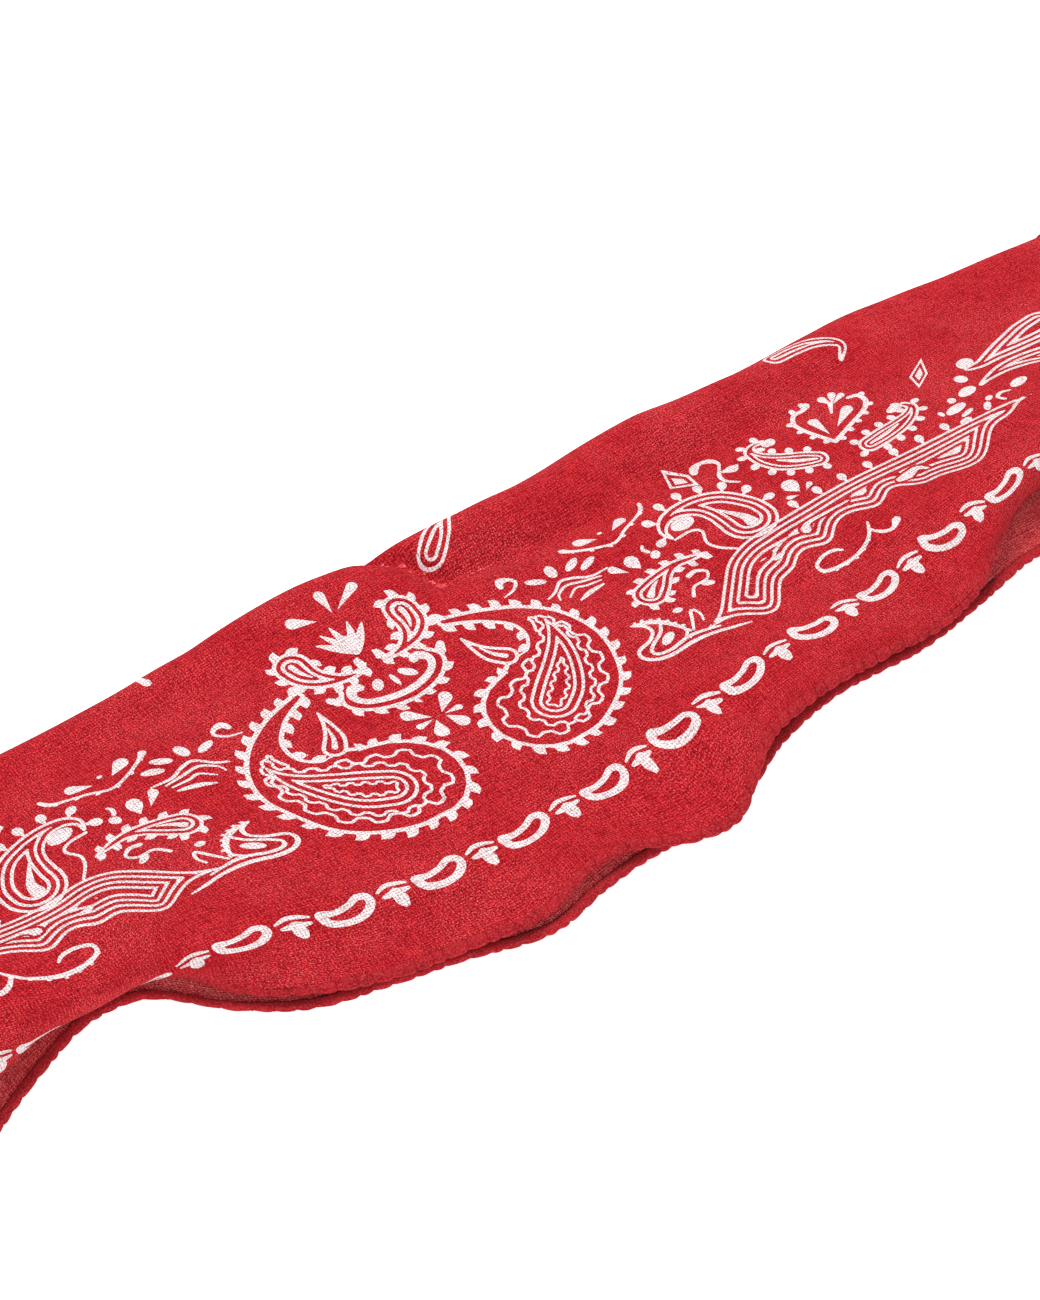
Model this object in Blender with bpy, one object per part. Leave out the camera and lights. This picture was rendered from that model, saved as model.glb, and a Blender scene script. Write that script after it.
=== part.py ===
# Square bandana scarf, hemmed on four sides, folded in half twice and laid down as a long band.
# X runs along the band, Y from the open hems (front) to the back fold, Z up from the surface it lies on.
# The cloth is followed in millimetres: "along" is the place along the band, "across" the length of
# cloth from the upper hem, over the top leaf and round the back fold.

import bmesh
import bpy
import math
from collections import namedtuple

import numpy as np
from mathutils import Matrix

MM = 0.001

# Cut of the cloth and its folds
SIDE = 550.0                  # side of the hemmed square
HALF = SIDE / 2.0
HEM_WIDTH = 3.0               # rolled hem, measured across the cloth
HEM_THICK = 1.8
SIDE_HEM_THICK = 1.6
WALL = 1.0                    # cloth wall of the leaves
SEAM = 0.3                    # air between two pieces that meet
HEM_AIR = 0.45                # air between the upper hem and its leaf, which bends there
CORE_AIR = 0.5                # air between the top leaf and the heaped layers under it
FOLD_REACH = 9.0              # from the shoulder of the back fold to its rearmost line
FOLD_START = 114.0            # cloth from the upper hem to the shoulder of the back fold
FOLD_ARC_STEPS = 9
FOLD_REST_STEPS = 6           # the same for each hidden fold
LAYER_END = 18.0              # length of the separate layers that show at each end of the band
LAYER_RADIUS = 1.2            # radius of the two hidden folds, on the middle of the cloth
COARSE_STEP = 10.5            # distance between sections where the hem runs calm
FINE_STEP = 6.0               # and where it waves
WAVY_STRETCHES = ((-150.0, -75.0), (26.0, 68.0))
SHARP_ANGLE = 50.0
CLOTH_ROUGHNESS = 0.9
CLOTH_RED = (0.56, 0.022, 0.030, 1.0)
HEM_RED = (0.50, 0.016, 0.024, 1.0)
CORE_RED = (0.46, 0.016, 0.022, 1.0)

# The lengths of cloth, from the upper hem, at which the sections below are given
HEM, LIP, CHAIN, RIDGE, BORDER, FIELD = 0.0, 12.0, 24.0, 34.0, 56.0, 85.0

# Front of the top leaf: a row for each wave or tuck of its hem
Front = namedtuple("Front", "along hem_y hem_z lip_y lip_z chain_y chain_z ridge_y ridge_z")
FRONT = (
    Front(-275, -58.0, 8.6, -47.5, 8.6, -35.5, 8.8, -26.0, 9.0),
    Front(-240, -60.0, 5.0, -49.5, 6.6, -38.0, 8.4, -28.5, 9.2),
    Front(-205, -54.0, 4.4, -46.0, 7.4, -35.5, 11.0, -26.5, 12.5),
    Front(-170, -40.0, 4.6, -39.0, 9.5, -33.0, 14.5, -24.0, 16.5),
    Front(-145, -24.0, 4.8, -31.0, 8.0, -30.0, 15.0, -22.5, 17.5),
    Front(-125, -12.0, 4.8, -22.5, 5.8, -29.5, 10.5, -29.5, 16.5),
    Front(-108, -13.0, 4.6, -22.5, 5.6, -29.0, 9.5, -29.0, 15.0),
    Front(-97, -27.0, 4.4, -32.0, 8.4, -31.6, 12.0, -25.6, 14.6),
    Front(-88, -40.5, 4.4, -37.0, 8.6, -32.5, 12.0, -24.2, 13.4),
    Front(-76, -50.0, 4.4, -42.5, 7.2, -34.0, 10.5, -25.5, 11.5),
    Front(-60, -57.3, 4.4, -48.0, 6.0, -38.0, 9.0, -29.0, 10.0),
    Front(-40, -61.4, 4.4, -51.5, 5.4, -40.2, 7.8, -30.5, 8.8),
    Front(-18, -64.4, 4.4, -53.0, 5.0, -41.0, 6.6, -31.0, 7.6),
    Front(0, -59.6, 5.0, -51.5, 5.8, -41.0, 6.4, -31.0, 7.2),
    Front(10, -60.2, 4.8, -52.0, 5.6, -40.8, 6.2, -31.0, 7.0),
    Front(24, -67.2, 4.4, -55.0, 4.9, -40.0, 6.2, -30.0, 7.0),
    Front(38, -68.4, 4.4, -54.5, 5.4, -37.0, 6.4, -28.0, 7.4),
    Front(48, -62.0, 4.8, -50.0, 7.0, -35.4, 8.0, -26.5, 8.0),
    Front(60, -53.4, 5.6, -47.5, 8.0, -34.6, 8.6, -25.5, 8.4),
    Front(80, -48.8, 6.6, -43.5, 9.0, -33.0, 9.0, -24.0, 8.8),
    Front(105, -48.6, 6.6, -42.0, 9.0, -31.0, 9.6, -22.0, 9.4),
    Front(125, -48.8, 6.4, -41.0, 8.6, -29.4, 10.0, -20.5, 10.0),
    Front(142, -44.0, 6.6, -38.0, 9.8, -27.4, 12.0, -18.5, 11.8),
    Front(160, -33.5, 6.4, -33.0, 11.0, -26.0, 13.8, -17.0, 13.8),
    Front(180, -23.5, 4.8, -27.0, 10.5, -24.0, 16.0, -15.5, 16.6),
    Front(205, -26.5, 4.8, -29.5, 9.5, -24.5, 14.5, -16.0, 15.4),
    Front(238, -46.0, 5.0, -39.5, 8.0, -29.5, 10.5, -20.5, 11.2),
    Front(275, -58.0, 8.6, -47.5, 8.6, -35.5, 8.8, -26.0, 9.0),
)

# Body of the top leaf: heights over the surface, and how far back the fold reaches
Body = namedtuple("Body", "along border_z field_z shoulder_z fold_y")
BODY = (
    Body(-275, 9.0, 9.0, 9.4, 63.0),
    Body(-235, 9.8, 9.0, 10.0, 61.5),
    Body(-190, 13.0, 9.5, 10.0, 61.5),
    Body(-150, 15.5, 10.0, 9.6, 60.5),
    Body(-110, 14.0, 9.5, 9.6, 59.2),
    Body(-75, 10.5, 8.0, 9.8, 60.0),
    Body(-35, 8.5, 7.4, 10.2, 62.4),
    Body(0, 7.2, 7.0, 10.4, 65.2),
    Body(40, 7.0, 7.2, 10.0, 63.8),
    Body(75, 8.0, 8.0, 10.2, 64.8),
    Body(112, 10.0, 8.8, 10.4, 67.8),
    Body(155, 12.0, 9.4, 10.2, 67.0),
    Body(195, 14.0, 10.0, 10.2, 68.2),
    Body(235, 11.6, 9.4, 10.0, 64.6),
    Body(275, 9.0, 9.0, 9.4, 63.0),
)

# Lower leaf: where its hem lies, how far it is lifted, and where the heaped layers behind it begin
Lower = namedtuple("Lower", "along hem_y lift core_y")
LOWER = (
    Lower(-275, -60.0, 0.0, -28.0),
    Lower(-240, -63.0, 0.0, -30.0),
    Lower(-205, -61.0, 0.0, -28.0),
    Lower(-175, -54.0, 0.6, -22.0),
    Lower(-152, -40.5, 1.0, -12.0),
    Lower(-134, -31.0, 1.0, -7.0),
    Lower(-116, -24.8, 0.9, -6.0),
    Lower(-104, -27.0, 0.6, -8.0),
    Lower(-90, -42.0, 0.2, -16.0),
    Lower(-78, -51.0, 0.0, -24.0),
    Lower(-60, -56.8, 0.0, -29.0),
    Lower(-42, -61.0, 0.0, -31.0),
    Lower(-18, -67.4, 0.0, -33.0),
    Lower(0, -64.0, 0.0, -33.0),
    Lower(12, -62.8, 0.0, -33.0),
    Lower(28, -65.4, 0.0, -32.5),
    Lower(41, -65.8, 0.0, -31.0),
    Lower(50, -59.6, 0.0, -29.5),
    Lower(62, -53.8, 0.0, -28.0),
    Lower(85, -48.0, 0.0, -25.0),
    Lower(120, -48.2, 0.0, -24.0),
    Lower(145, -44.2, 0.0, -20.0),
    Lower(165, -40.4, 0.1, -14.0),
    Lower(205, -46.0, 0.1, -12.0),
    Lower(240, -57.0, 0.0, -22.0),
    Lower(275, -60.0, 0.0, -28.0),
)

# Heaped layers, seen in section: the rolled first fold below, the edge of the next layer above it
CORE_ROLL = ((4.0, 0.0), (1.2, 0.0), (0.2, 0.7), (0.0, 1.6), (0.4, 2.4), (1.2, 2.8), (0.9, 3.3))
CORE_FRONT_DEPTH = 4.0        # from the front of the heap to where it meets the top leaf
CORE_BROW = ((1.0, 0.35), (1.8, 0.75))   # way back, and share of the height from the last roll to the top
CORE_TOP_STEPS = 9

# Hidden folds at the ends of the band, measured back from the front of the heaped layers
DROP_FOOT = 2.0               # the second leaf comes down to the surface here
DROP_HEAD = 14.0              # and leaves the top of the stack here
FIRST_FOLD = 20.0             # front fold of the two lowest layers
INNER_FOLD = 2.0              # inner back fold, behind the shoulder of the outer one
DROP_STEPS = 6

# Section of a rolled hem, in halves of its width and thickness, and the rounding of its outer side
HEM_CORNERS = ((-1.0, 0.4), (-0.6, 1.0), (0.6, 1.0), (1.0, 0.4),
               (1.0, -0.4), (0.6, -1.0), (-0.6, -1.0), (-1.0, -0.4))
HEM_SHOULDER = 0.2
HEM_OUTER_SIDE = 0.45

# Where the lower leaf is sampled, from its hem to the heaped layers
LOWER_SHARES = (0.0, 0.2, 0.45, 0.7, 1.0)
STRAIGHT_SHARES = (0.3, 0.65)  # and each straight run of the hidden layers

# Where the leaf is sampled: shares of the way from its hem to the lip, then lengths of cloth
EDGE_SHARES = (0.33, 0.67)
ACROSS = (12.0, 16.0, 20.0, 24.0, 27.5, 31.0, 34.5, 39.0, 45.0, 52.0, 60.0, 68.0, 76.0, 85.0, 94.0,
          104.0, 114.0)


def clear_scene():
    for thing in list(bpy.data.objects):
        bpy.data.objects.remove(thing, do_unlink=True)


def through(places, values, at, last_slope=None):
    """Smooth curve through the values given at uneven places, read at one place."""
    steps = np.diff(places)
    rises = np.diff(values) / steps
    slopes = np.empty(len(places))
    slopes[0] = rises[0]
    slopes[-1] = rises[-1] if last_slope is None else last_slope
    slopes[1:-1] = (rises[:-1] * steps[1:] + rises[1:] * steps[:-1]) / (steps[1:] + steps[:-1])
    i = int(np.clip(np.searchsorted(places, at) - 1, 0, len(places) - 2))
    t = (at - places[i]) / steps[i]
    start = (2 * t**3 - 3 * t**2 + 1) * values[i] + (t**3 - 2 * t**2 + t) * steps[i] * slopes[i]
    end = (3 * t**2 - 2 * t**3) * values[i + 1] + (t**3 - t**2) * steps[i] * slopes[i + 1]
    return start + end


def read(table, name, along):
    places = [float(row.along) for row in table]
    return through(places, [getattr(row, name) for row in table], along)


class Section:
    """The top leaf cut through at one place along the band."""

    def __init__(self, along):
        self.shoulder_y = read(BODY, "fold_y", along) - FOLD_REACH
        self.half_height = read(BODY, "shoulder_z", along) / 2.0
        ridge_y = read(FRONT, "ridge_y", along)
        slope = (self.shoulder_y - ridge_y) / (FOLD_START - RIDGE)
        self.marks = (HEM, LIP, CHAIN, RIDGE, BORDER, FIELD, FOLD_START)
        self.ys = [read(FRONT, name, along) for name in ("hem_y", "lip_y", "chain_y", "ridge_y")]
        self.ys += [ridge_y + slope * (mark - RIDGE) for mark in self.marks[4:]]
        self.zs = [read(FRONT, name, along) for name in ("hem_z", "lip_z", "chain_z", "ridge_z")]
        self.zs += [read(BODY, name, along) for name in ("border_z", "field_z", "shoulder_z")]

    def place(self, across):
        y = through(self.marks, self.ys, across, last_slope=1.0)
        z = through(self.marks, self.zs, across, last_slope=0.0)
        return np.array((y, z))

    def from_edge(self, distance):
        """Length of cloth at which the leaf lies this far from its edge."""
        edge = self.place(HEM)
        near, far = HEM, LIP
        for _ in range(20):
            middle = (near + far) / 2.0
            if np.linalg.norm(self.place(middle) - edge) < distance:
                near = middle
            else:
                far = middle
        return near

    def hem_frame(self):
        """Edge of the leaf, the direction from it into the leaf, and the direction out of its face."""
        edge = self.place(HEM)
        run = self.place(self.from_edge(HEM_WIDTH)) - edge
        run /= np.linalg.norm(run)
        return edge, run, np.array((-run[1], run[0]))

    def outward(self, across):
        """Direction out of the printed face."""
        ahead = self.place(min(across + 0.2, FOLD_START))
        behind = self.place(max(across - 0.2, HEM))
        run = ahead - behind
        run /= np.linalg.norm(run)
        return np.array((-run[1], run[0]))

    def inside(self, across, depth):
        return self.place(across) - self.outward(across) * depth

    def fold(self, turn, depth):
        """A point of the back fold, at a turn from 0 on top to pi on the surface below."""
        reach = FOLD_REACH - depth
        rise = self.half_height - depth
        y = self.shoulder_y + reach * math.sin(turn)
        return np.array((y, self.half_height + rise * math.cos(turn)))

    def leaf(self, depth):
        """The whole leaf at a depth under its printed face, from the hem to below the back fold."""
        start = self.from_edge(HEM_WIDTH + HEM_AIR)
        points = [self.place(start) - self.hem_frame()[2] * depth]
        margin = [start + (LIP - start) * share for share in EDGE_SHARES]
        points += [self.inside(across, depth) for across in margin + list(ACROSS)]
        for step in range(1, FOLD_ARC_STEPS + 1):
            points.append(self.fold(math.pi * step / FOLD_ARC_STEPS, depth))
        return points

    def height_under(self, y, depth):
        """Height of the leaf's inner side over the body, at a place from front to back."""
        body = [self.inside(across, depth) for across in ACROSS if across > RIDGE]
        return float(np.interp(y, [point[0] for point in body], [point[1] for point in body]))


def stations():
    """Places along the band where sections are cut, closer together where the hem waves."""
    inner = HALF - LAYER_END
    places = [-inner]
    while places[-1] < inner - 1.0:
        here = places[-1]
        wavy = any(start <= here <= stop for start, stop in WAVY_STRETCHES)
        places.append(here + (FINE_STEP if wavy else COARSE_STEP))
    places[-1] = inner
    return places


def end_stations(sign):
    """Places along the short stretch at one end where the layers are separate."""
    near = HALF - LAYER_END + SEAM
    far = HALF - HEM_WIDTH - SEAM
    return sorted(sign * place for place in (near, (near + far) / 2.0, far))


def material(name, colour):
    paint = bpy.data.materials.new(name)
    paint.use_nodes = True
    shader = paint.node_tree.nodes["Principled BSDF"]
    shader.inputs["Base Color"].default_value = colour
    shader.inputs["Roughness"].default_value = CLOTH_ROUGHNESS
    shader.inputs["Metallic"].default_value = 0.0
    return paint


def add_solid(name, rings, colour, two_sided=False):
    """A closed solid through rings of (x, y, z) points in millimetres, capped at both ends.

    The ring of a wall runs along one side of the cloth and back along the other, and its caps
    join the two sides.
    """
    mesh = bmesh.new()
    rows = [[mesh.verts.new(point) for point in ring] for ring in rings]
    for row, following in zip(rows, rows[1:]):
        for i in range(len(row)):
            j = (i + 1) % len(row)
            mesh.faces.new((row[i], row[j], following[j], following[i]))
    for row in (rows[0], rows[-1]):
        if two_sided:
            for i in range(len(row) // 2 - 1):
                mesh.faces.new((row[i], row[i + 1], row[-2 - i], row[-1 - i]))
        else:
            mesh.faces.new(row)
    mesh.normal_update()
    bmesh.ops.triangulate(mesh, faces=mesh.faces[:])
    bmesh.ops.recalc_face_normals(mesh, faces=mesh.faces[:])
    bmesh.ops.scale(mesh, vec=(MM, MM, MM), verts=mesh.verts[:])
    data = bpy.data.meshes.new(name)
    mesh.to_mesh(data)
    mesh.free()
    data.shade_smooth()
    data.set_sharp_from_angle(angle=math.radians(SHARP_ANGLE))
    data.materials.append(material(name + "_red", colour))
    thing = bpy.data.objects.new(name, data)
    bpy.context.scene.collection.objects.link(thing)
    return thing


def top_leaf():
    rings = []
    ends = HALF - HEM_WIDTH - SEAM
    for along in [-ends] + stations() + [ends]:
        section = Section(along)
        outline = section.leaf(0.0) + section.leaf(WALL)[::-1]
        rings.append([(along, y, z) for y, z in outline])
    add_solid("top_leaf", rings, CLOTH_RED, two_sided=True)


def second_leaf():
    rings = []
    ends = HALF - HEM_WIDTH - SEAM
    for along in [-ends] + stations() + [ends]:
        start = read(LOWER, "hem_y", along) + HEM_WIDTH + SEAM
        stop = read(LOWER, "core_y", along) - SEAM
        lift = read(LOWER, "lift", along)
        under = []
        for share in LOWER_SHARES:
            under.append((start + (stop - start) * share, max(0.0, lift * (1.0 - share) ** 2)))
        over = [(y, z + WALL) for y, z in reversed(under)]
        rings.append([(along, y, z) for y, z in under + over])
    add_solid("second_leaf", rings, CLOTH_RED, two_sided=True)


def folded_core():
    rings = []
    for along in stations():
        section = Section(along)
        front = read(LOWER, "core_y", along)
        back = section.shoulder_y
        depth = WALL + CORE_AIR
        first = front + CORE_FRONT_DEPTH
        top = section.height_under(first, depth)
        notch = CORE_ROLL[-1][1]
        outline = [(back - SEAM, 0.0)]
        outline += [(front + y, z) for y, z in CORE_ROLL]
        outline += [(front + y, notch + (top - notch) * share) for y, share in CORE_BROW]
        for step in range(CORE_TOP_STEPS):
            y = first + (back - first) * step / CORE_TOP_STEPS
            outline.append((y, section.height_under(y, depth)))
        for step in range(FOLD_ARC_STEPS):
            outline.append(tuple(section.fold(math.pi * step / FOLD_ARC_STEPS, depth)))
        outline.append((back - SEAM, depth))
        rings.append([(along, y, z) for y, z in outline])
    add_solid("folded_core", rings, CORE_RED)


def hidden_fold(centre_y, centre_z, backwards):
    """Half turn of a hidden fold, bulging to the back or to the front."""
    points = []
    for step in range(FOLD_REST_STEPS + 1):
        turn = math.pi * step / FOLD_REST_STEPS
        y = centre_y + LAYER_RADIUS * math.sin(turn) * (1.0 if backwards else -1.0)
        points.append((y, centre_z - LAYER_RADIUS * math.cos(turn)))
    return points


def lower_layers(along, thick):
    """Middle line of the layers under the top leaf: fourth, first fold, third, inner fold, second."""
    section = Section(along)
    front = read(LOWER, "core_y", along)
    back = section.shoulder_y
    base = thick / 2.0
    second = base + 4.0 * LAYER_RADIUS
    path = [(back - SEAM, base)]
    path += [(back + (front + FIRST_FOLD - back) * share, base) for share in STRAIGHT_SHARES]
    path += hidden_fold(front + FIRST_FOLD, base + LAYER_RADIUS, backwards=False)
    path += [(front + FIRST_FOLD + (back - front - FIRST_FOLD) * share, base + 2.0 * LAYER_RADIUS)
             for share in STRAIGHT_SHARES]
    path += hidden_fold(back + INNER_FOLD, base + 3.0 * LAYER_RADIUS, backwards=True)
    path += [(back + (front + DROP_HEAD - back) * share, second) for share in STRAIGHT_SHARES]
    for step in range(DROP_STEPS + 1):
        share = step / DROP_STEPS
        y = front + DROP_HEAD + (DROP_FOOT - DROP_HEAD) * share
        ease = 0.5 - 0.5 * math.cos(math.pi * share)
        path.append((y, second + (base - second) * ease))
    path.append((front, base))
    return path


def both_sides(path, thick):
    """Outline of a strip of cloth that follows a middle line, on both of its sides."""
    line = np.array(path)
    runs = np.gradient(line, axis=0)
    runs /= np.linalg.norm(runs, axis=1)[:, None]
    aside = np.stack((-runs[:, 1], runs[:, 0]), axis=1) * (thick / 2.0)
    return line + aside, line - aside


def folded_layers(name, sign):
    rings = []
    for along in end_stations(sign):
        left, right = both_sides(lower_layers(along, WALL), WALL)
        outline = list(left) + list(right[::-1])
        rings.append([(along, y, z) for y, z in outline])
    add_solid(name, rings, CORE_RED, two_sided=True)


def hem_ring(along, centre, run, thick):
    """Soft-cornered section of a rolled hem that lies along the edge of a leaf."""
    out = np.array((-run[1], run[0]))
    wide = HEM_WIDTH / 2.0
    high = thick / 2.0
    points = [centre + run * wide * a + out * high * b for a, b in HEM_CORNERS]
    return [(along, y, z) for y, z in points]


def front_hem_upper():
    rings = []
    ends = HALF - HEM_WIDTH - SEAM
    for along in [-ends] + stations() + [ends]:
        section = Section(along)
        edge, run, out = section.hem_frame()
        centre = edge + run * HEM_WIDTH / 2.0 - out * HEM_THICK / 2.0
        rings.append(hem_ring(along, centre, run, HEM_THICK))
    add_solid("front_hem_upper", rings, HEM_RED)


def front_hem_lower():
    rings = []
    ends = HALF - HEM_WIDTH - SEAM
    for along in [-ends] + stations() + [ends]:
        y = read(LOWER, "hem_y", along) + HEM_WIDTH / 2.0
        z = max(0.0, read(LOWER, "lift", along)) + HEM_THICK / 2.0
        rings.append(hem_ring(along, np.array((y, z)), np.array((1.0, 0.0)), HEM_THICK))
    add_solid("front_hem_lower", rings, HEM_RED)


def side_hem(name, sign):
    """Rolled hem of one short end, followed through all four layers."""
    along = sign * (HALF - HEM_WIDTH / 2.0)
    section = Section(along)
    half = SIDE_HEM_THICK / 2.0
    path = [tuple(section.inside(HEM, half))]
    stops = [across for across in ACROSS if across in (LIP, CHAIN) or across > RIDGE]
    path += [tuple(section.inside(across, half)) for across in stops]
    turns = [math.pi * step / FOLD_ARC_STEPS for step in range(1, FOLD_ARC_STEPS + 1)]
    path += [tuple(section.fold(turn, half)) for turn in turns]
    path += lower_layers(along, SIDE_HEM_THICK)[1:]
    path.append((read(LOWER, "hem_y", along), half))
    left, right = both_sides(path, SIDE_HEM_THICK)
    soft_left, soft_right = both_sides(path, SIDE_HEM_THICK * HEM_OUTER_SIDE)
    inner = sign * (HALF - HEM_WIDTH)
    shoulder = sign * (HALF - HEM_WIDTH * HEM_SHOULDER)
    outer = sign * HALF
    rings = []
    for i in range(len(path)):
        ring = [(inner, *left[i]), (shoulder, *left[i]), (outer, *soft_left[i])]
        ring += [(outer, *soft_right[i]), (shoulder, *right[i]), (inner, *right[i])]
        rings.append(ring)
    add_solid(name, rings, HEM_RED)


def centre_front_to_back():
    """Move the whole band so that its box reaches as far to the front as to the back."""
    things = list(bpy.context.scene.collection.objects)
    depths = [vertex.co.y for thing in things for vertex in thing.data.vertices]
    aside = -(min(depths) + max(depths)) / 2.0
    for thing in things:
        thing.data.transform(Matrix.Translation((0.0, aside, 0.0)))


def main():
    clear_scene()
    top_leaf()
    second_leaf()
    folded_core()
    folded_layers("folded_layers_left", -1.0)
    folded_layers("folded_layers_right", 1.0)
    front_hem_upper()
    front_hem_lower()
    side_hem("side_hem_left", -1.0)
    side_hem("side_hem_right", 1.0)
    centre_front_to_back()


main()
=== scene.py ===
import math
from collections import namedtuple
from functools import partial

import bpy
import numpy as np
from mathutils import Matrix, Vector
from mathutils.geometry import delaunay_2d_cdt


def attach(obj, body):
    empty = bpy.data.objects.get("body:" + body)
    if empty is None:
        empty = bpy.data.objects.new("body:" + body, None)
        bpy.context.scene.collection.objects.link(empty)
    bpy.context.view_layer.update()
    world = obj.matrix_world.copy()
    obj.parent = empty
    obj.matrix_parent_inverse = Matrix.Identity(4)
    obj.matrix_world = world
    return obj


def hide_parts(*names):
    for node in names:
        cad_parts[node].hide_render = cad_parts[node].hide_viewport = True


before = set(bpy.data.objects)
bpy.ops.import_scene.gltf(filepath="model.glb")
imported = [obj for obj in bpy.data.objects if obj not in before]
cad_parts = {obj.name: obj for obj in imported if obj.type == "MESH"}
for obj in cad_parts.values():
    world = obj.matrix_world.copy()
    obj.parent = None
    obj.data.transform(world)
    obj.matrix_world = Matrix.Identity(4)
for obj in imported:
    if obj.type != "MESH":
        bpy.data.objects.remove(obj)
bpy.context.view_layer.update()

# A square bandana scarf folded in half twice. Sizes are in millimetres until a mesh is made.
# "along" runs along the band, "across" is the length of cloth from the upper hem.
millimetre = 0.001

scarf = {
    "side": 550.0,          # hemmed square
    "hemWidth": 3.0,
    "clothThick": 0.35,
    "bandShift": 0.42,      # puts the middle of the band's box at the origin
    "foldReach": 9.0,       # shoulder of the back fold to its rearmost line
    "floorGap": 0.1,
}
half = scarf["side"] / 2.0


def addObject(name, data):
    made = bpy.data.objects.new(name, data)
    bpy.context.scene.collection.objects.link(made)
    return made


def pointAlong(thing, direction):
    thing.rotation_mode = "QUATERNION"
    thing.rotation_quaternion = direction.to_track_quat("-Z", "Y")


print("camera")
cameraPlace = {
    "turn": 38.4,           # degrees, looking to the right along the band
    "tilt": 41.0,           # degrees down
    "distance": 769.2,
    "target": (37.0, 16.82, 0.0),
    "focalPixels": 3000.0,
    "longSidePixels": 1300.0,
    "filmSide": 36.0,
    "clipStart": 10.0,
}


def makeCamera(place):
    turn = math.radians(place["turn"])
    tilt = math.radians(place["tilt"])
    ahead = Vector((math.cos(tilt) * math.sin(turn), math.cos(tilt) * math.cos(turn), -math.sin(tilt)))
    data = bpy.data.cameras.new("camera")
    data.sensor_width = place["filmSide"]
    data.lens = place["focalPixels"] * place["filmSide"] / place["longSidePixels"]
    data.clip_start = place["clipStart"] * millimetre
    camera = addObject("camera", data)
    camera.location = (Vector(place["target"]) - ahead * place["distance"]) * millimetre
    pointAlong(camera, ahead)
    bpy.context.scene.camera = camera


makeCamera(cameraPlace)


print("drape")


def tableOf(columns, *rows):
    row = namedtuple("row", columns)
    return [row(*values) for values in rows]


frontRows = tableOf(        # waves and tucks of the upper hem
    "along hemY hemZ lipY lipZ chainY chainZ ridgeY ridgeZ",
    (-275, -58.0, 8.6, -47.5, 8.6, -35.5, 8.8, -26.0, 9.0),
    (-240, -60.0, 5.0, -49.5, 6.6, -38.0, 8.4, -28.5, 9.2),
    (-205, -54.0, 4.4, -46.0, 7.4, -35.5, 11.0, -26.5, 12.5),
    (-170, -40.0, 4.6, -39.0, 9.5, -33.0, 14.5, -24.0, 16.5),
    (-145, -24.0, 4.8, -31.0, 8.0, -30.0, 15.0, -22.5, 17.5),
    (-125, -12.0, 4.8, -22.5, 5.8, -29.5, 10.5, -29.5, 16.5),
    (-108, -13.0, 4.6, -22.5, 5.6, -29.0, 9.5, -29.0, 15.0),
    (-97, -27.0, 4.4, -32.0, 8.4, -31.6, 12.0, -25.6, 14.6),
    (-88, -40.5, 4.4, -37.0, 8.6, -32.5, 12.0, -24.2, 13.4),
    (-76, -50.0, 4.4, -42.5, 7.2, -34.0, 10.5, -25.5, 11.5),
    (-60, -57.3, 4.4, -48.0, 6.0, -38.0, 9.0, -29.0, 10.0),
    (-40, -61.4, 4.4, -51.5, 5.4, -40.2, 7.8, -30.5, 8.8),
    (-18, -64.4, 4.4, -53.0, 5.0, -41.0, 6.6, -31.0, 7.6),
    (0, -59.6, 5.0, -51.5, 5.8, -41.0, 6.4, -31.0, 7.2),
    (10, -60.2, 4.8, -52.0, 5.6, -40.8, 6.2, -31.0, 7.0),
    (24, -67.2, 4.4, -55.0, 4.9, -40.0, 6.2, -30.0, 7.0),
    (38, -68.4, 4.4, -54.5, 5.4, -37.0, 6.4, -28.0, 7.4),
    (48, -62.0, 4.8, -50.0, 7.0, -35.4, 8.0, -26.5, 8.0),
    (60, -53.4, 5.6, -47.5, 8.0, -34.6, 8.6, -25.5, 8.4),
    (80, -48.8, 6.6, -43.5, 9.0, -33.0, 9.0, -24.0, 8.8),
    (105, -48.6, 6.6, -42.0, 9.0, -31.0, 9.6, -22.0, 9.4),
    (125, -48.8, 6.4, -41.0, 8.6, -29.4, 10.0, -20.5, 10.0),
    (142, -44.0, 6.6, -38.0, 9.8, -27.4, 12.0, -18.5, 11.8),
    (160, -33.5, 6.4, -33.0, 11.0, -26.0, 13.8, -17.0, 13.8),
    (180, -23.5, 4.8, -27.0, 10.5, -24.0, 16.0, -15.5, 16.6),
    (205, -26.5, 4.8, -29.5, 9.5, -24.5, 14.5, -16.0, 15.4),
    (238, -46.0, 5.0, -39.5, 8.0, -29.5, 10.5, -20.5, 11.2),
    (275, -58.0, 8.6, -47.5, 8.6, -35.5, 8.8, -26.0, 9.0),
)
bodyRows = tableOf(         # heights of the top leaf, and how far back it folds
    "along borderZ fieldZ shoulderZ foldY",
    (-275, 9.0, 9.0, 9.4, 63.0),
    (-235, 9.8, 9.0, 10.0, 61.5),
    (-190, 13.0, 9.5, 10.0, 61.5),
    (-150, 15.5, 10.0, 9.6, 60.5),
    (-110, 14.0, 9.5, 9.6, 59.2),
    (-75, 10.5, 8.0, 9.8, 60.0),
    (-35, 8.5, 7.4, 10.2, 62.4),
    (0, 7.2, 7.0, 10.4, 65.2),
    (40, 7.0, 7.2, 10.0, 63.8),
    (75, 8.0, 8.0, 10.2, 64.8),
    (112, 10.0, 8.8, 10.4, 67.8),
    (155, 12.0, 9.4, 10.2, 67.0),
    (195, 14.0, 10.0, 10.2, 68.2),
    (235, 11.6, 9.4, 10.0, 64.6),
    (275, 9.0, 9.0, 9.4, 63.0),
)
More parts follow.
